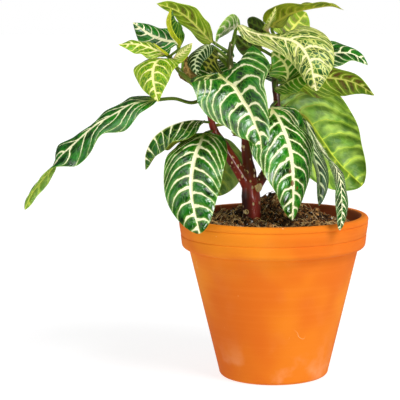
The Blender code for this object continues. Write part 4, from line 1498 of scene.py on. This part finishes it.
grow_leaf(
    "leaf_middle_4", on=("middle", 8.1),
    route=[(-58, -6, 314), (-66, -14, 309), (-72, -20, 300), (-71, -24, 287)], width=26, top=shaded,
    under=olive_under, wave=(0.5, 1.5, 0.0), spacing=4.5, quilt=0.3,
)
grow_leaf(
    "leaf_middle_5", on=("middle", 8.4),
    route=[(-57, 6, 317), (-66, 10, 325), (-76, 12, 335), (-86, 12, 343), (-96, 12, 348), (-110, 12, 352)],
    width=34, under=fresh_under, roll=(50, 48), fold=(10, 10), curl=(10, 10), base=0.55, point=0.9,
    arch=0.45, bow=1.8,
)
grow_leaf(
    "leaf_middle_6", on=("middle", 8.2),
    route=[(-36, 12, 328), (-42, 4, 329), (-49, -4, 324), (-54, -8, 314)], width=32, top=pale_young_and_sheen,
    under=pale_young_and_sheen, face=(0, -5, 4), fold=(6, 6), wave=(0.4, 1.5, 0.0), quilt=0.3, spacing=7.5,
)
grow_leaf(
    "leaf_middle_7", on=("middle", 8.9),
    route=[
        (-33, -12, 331), (-22, -17, 326), (-7, -24, 323), (7, -31, 321), (19, -37, 318), (27, -43, 311),
        (33, -49, 300), (36, -53, 287), (39, -56, 274),
    ],
    width=58, top=pale, under=olive_under, roll=(18, 24, 46, 62, 75), fold=(-18, -14), curl=(5, 5),
    wave=(1.5, 2.0, 0.2), trim=((0.5, 0.6, 0.95, 1.1, 1.1, 1.0), (0.6, 0.55, 0.55, 0.6, 0.7, 0.9)),
    base=0.6, point=0.75, spacing=14, quilt=1.6, arch=0.42, bow=1.9,
)
grow_leaf(
    "leaf_middle_8", on=("middle", 7.4), route=[(-46, 24, 300), (-60, 50, 306), (-76, 78, 300)], width=38,
)
print("leaves so far:", leaf_count)

# %% [markdown]
# The right branch carries the hanging leaves over the soil, the broad one that shows its underside and the
# young ones at the top right.

# %% Leaves of the right branch
grow_leaf(
    "leaf_right_1", on=("right", 4.0),
    route=[(2, 22, 253), (16, 32, 251), (31, 40, 243), (45, 46, 223), (63, 50, 198), (87, 52, 175)],
    width=78, under=broad_under, roll=(-70, -85, -85), fold=(8, 8), base=0.42, point=0.6, spacing=18,
    quilt=3.2, arch=0.42, bow=1.9,
)
grow_leaf(
    "leaf_right_2", on=("right", 3.8), route=[(28, 8, 243), (36, 6, 214), (43, 3, 191), (43, 0, 162)],
    width=20, top=shaded, under=shaded, roll=(30,), fold=(45, 45), wave=(0.5, 1.5, 0.0), base=1.0,
    point=0.7, spacing=11, arch=0.6,
)
grow_leaf(
    "leaf_right_3", on=("right", 4.4),
    route=[
        (28, -2, 245), (34, -15, 236), (40, -29, 226), (47, -42, 215), (55, -54, 206), (60, -65, 194),
        (61, -74, 179), (61, -80, 164), (59, -82, 151),
    ],
    width=20, top=fine_netted, under=fine_netted, roll=(-35, -28, -15), fold=(18, 18), wave=(1.2, 4.0, 0.0),
    base=0.9, point=0.55, spacing=8.0, quilt=0.6,
)
grow_leaf(
    "leaf_right_4", on=("right", 5.0),
    route=[
        (-2, -18, 256), (4, -28, 248), (9, -36, 238), (14, -42, 224), (17, -46, 206), (18, -48, 183),
        (17, -50, 155),
    ],
    width=74, top=blotched, roll=(10,), fold=(-32, 20), curl=(20, 20), wave=(2.0, 2.5, 0.3),
    trim=((1.0, 1.0, 1.0, 0.95, 0.8, 0.85), (1.0, 1.0, 1.0, 0.9, 0.75, 0.85)), base=0.45, point=0.8,
    spacing=12.5, arch=0.48, quilt=1.5, bow=1.9,
)
grow_leaf(
    "leaf_right_5", on=("right", 5.5), route=[(8, 28, 276), (12, 52, 290), (16, 76, 297)], width=50,
    fold=(20, 20),
)
grow_leaf(
    "leaf_right_6", on=("right", 5.8),
    route=[(17, 14, 280), (34, 14, 283), (53, 13, 283), (72, 10, 280), (85, 8, 274), (95, 6, 266)],
    width=42, under=plum_under, roll=(-54,), fold=(-8, -8), curl=(20, 20), base=0.55, spacing=11, arch=0.42,
    bow=1.7,
)
grow_leaf(
    "leaf_right_7", on=("right", 6.0), route=[(2, -8, 274), (13, -15, 280), (24, -20, 285), (41, -24, 288)],
    width=34, top=bright_young, under=olive_under, roll=(35,), fold=(-18, -14), curl=(20, 20), base=0.9,
    spacing=6,
)
grow_leaf(
    "leaf_right_8", on=("right", 6.8),
    route=[(21, -4, 298), (38, -7, 304), (56, -8, 306), (71, -8, 306), (80, -8, 302), (88, -9, 295)],
    width=50, roll=(30,), fold=(17, 17), base=0.5, point=1.0, spacing=11, quilt=0.8, arch=0.42, bow=1.8,
)
grow_leaf(
    "leaf_right_9", on=("right", 6.6), route=[(11, -8, 282), (13, -15, 289), (9, -21, 299), (-2, -24, 308)],
    width=34, top=bright_young, under=bright_young, fold=(20, 20), wave=(0.5, 1.5, 0.0), spacing=8,
)
grow_leaf(
    "leaf_right_10", on=("right", 7.2),
    route=[(-11, 6, 309), (-22, 9, 311), (-30, 11, 316), (-35, 10, 323)], width=20, top=dark_under,
    under=dark_under, roll=(80,), wave=(0.5, 1.5, 0.0),
)
grow_leaf(
    "leaf_right_11", on=("right", 7.3), route=[(18, 24, 306), (36, 50, 312), (54, 76, 300)], width=42,
)
grow_leaf(
    "leaf_right_12", on=("right", 7.7), route=[(12, 27, 319), (18, 33, 328), (24, 36, 335), (31, 36, 344)],
    width=40, top=fresh_under, under=fresh_under, face=(0, -5, 1), fold=(0, -30), curl=(10, 10), base=0.42,
    point=0.8, spacing=9,
)
grow_leaf(
    "leaf_right_13", on=("right", 7.9),
    route=[
        (-2, 10, 330), (10, 4, 340), (18, -1, 344), (29, -4, 347), (41, -6, 349), (54, -7, 350),
        (65, -8, 346),
    ],
    width=36, top=olive_under, under=olive_under, face=(-4, 8, 5), roll=(0, 24, 30), fold=(46, 16),
    curl=(20, 20), base=0.42, point=1.1, spacing=9,
)
grow_leaf(
    "leaf_right_14", on=("right", 7.3), route=[(-6, 14, 326), (-15, 20, 331), (-25, 24, 336)], width=24,
    top=dark_under, under=dark_under, roll=(60,), wave=(0.3, 1.5, 0.0), base=0.6, point=0.6, quilt=0.3,
)
grow_leaf(
    "leaf_right_15", on=("right", 7.6), route=[(-6, 5, 327), (-3, -12, 337), (2, -22, 349)], width=13,
    top=lime, under=lime, roll=(60,), wave=(0.3, 1.5, 0.0), quilt=0.2, spacing=5,
)
print("leaves:", leaf_count)
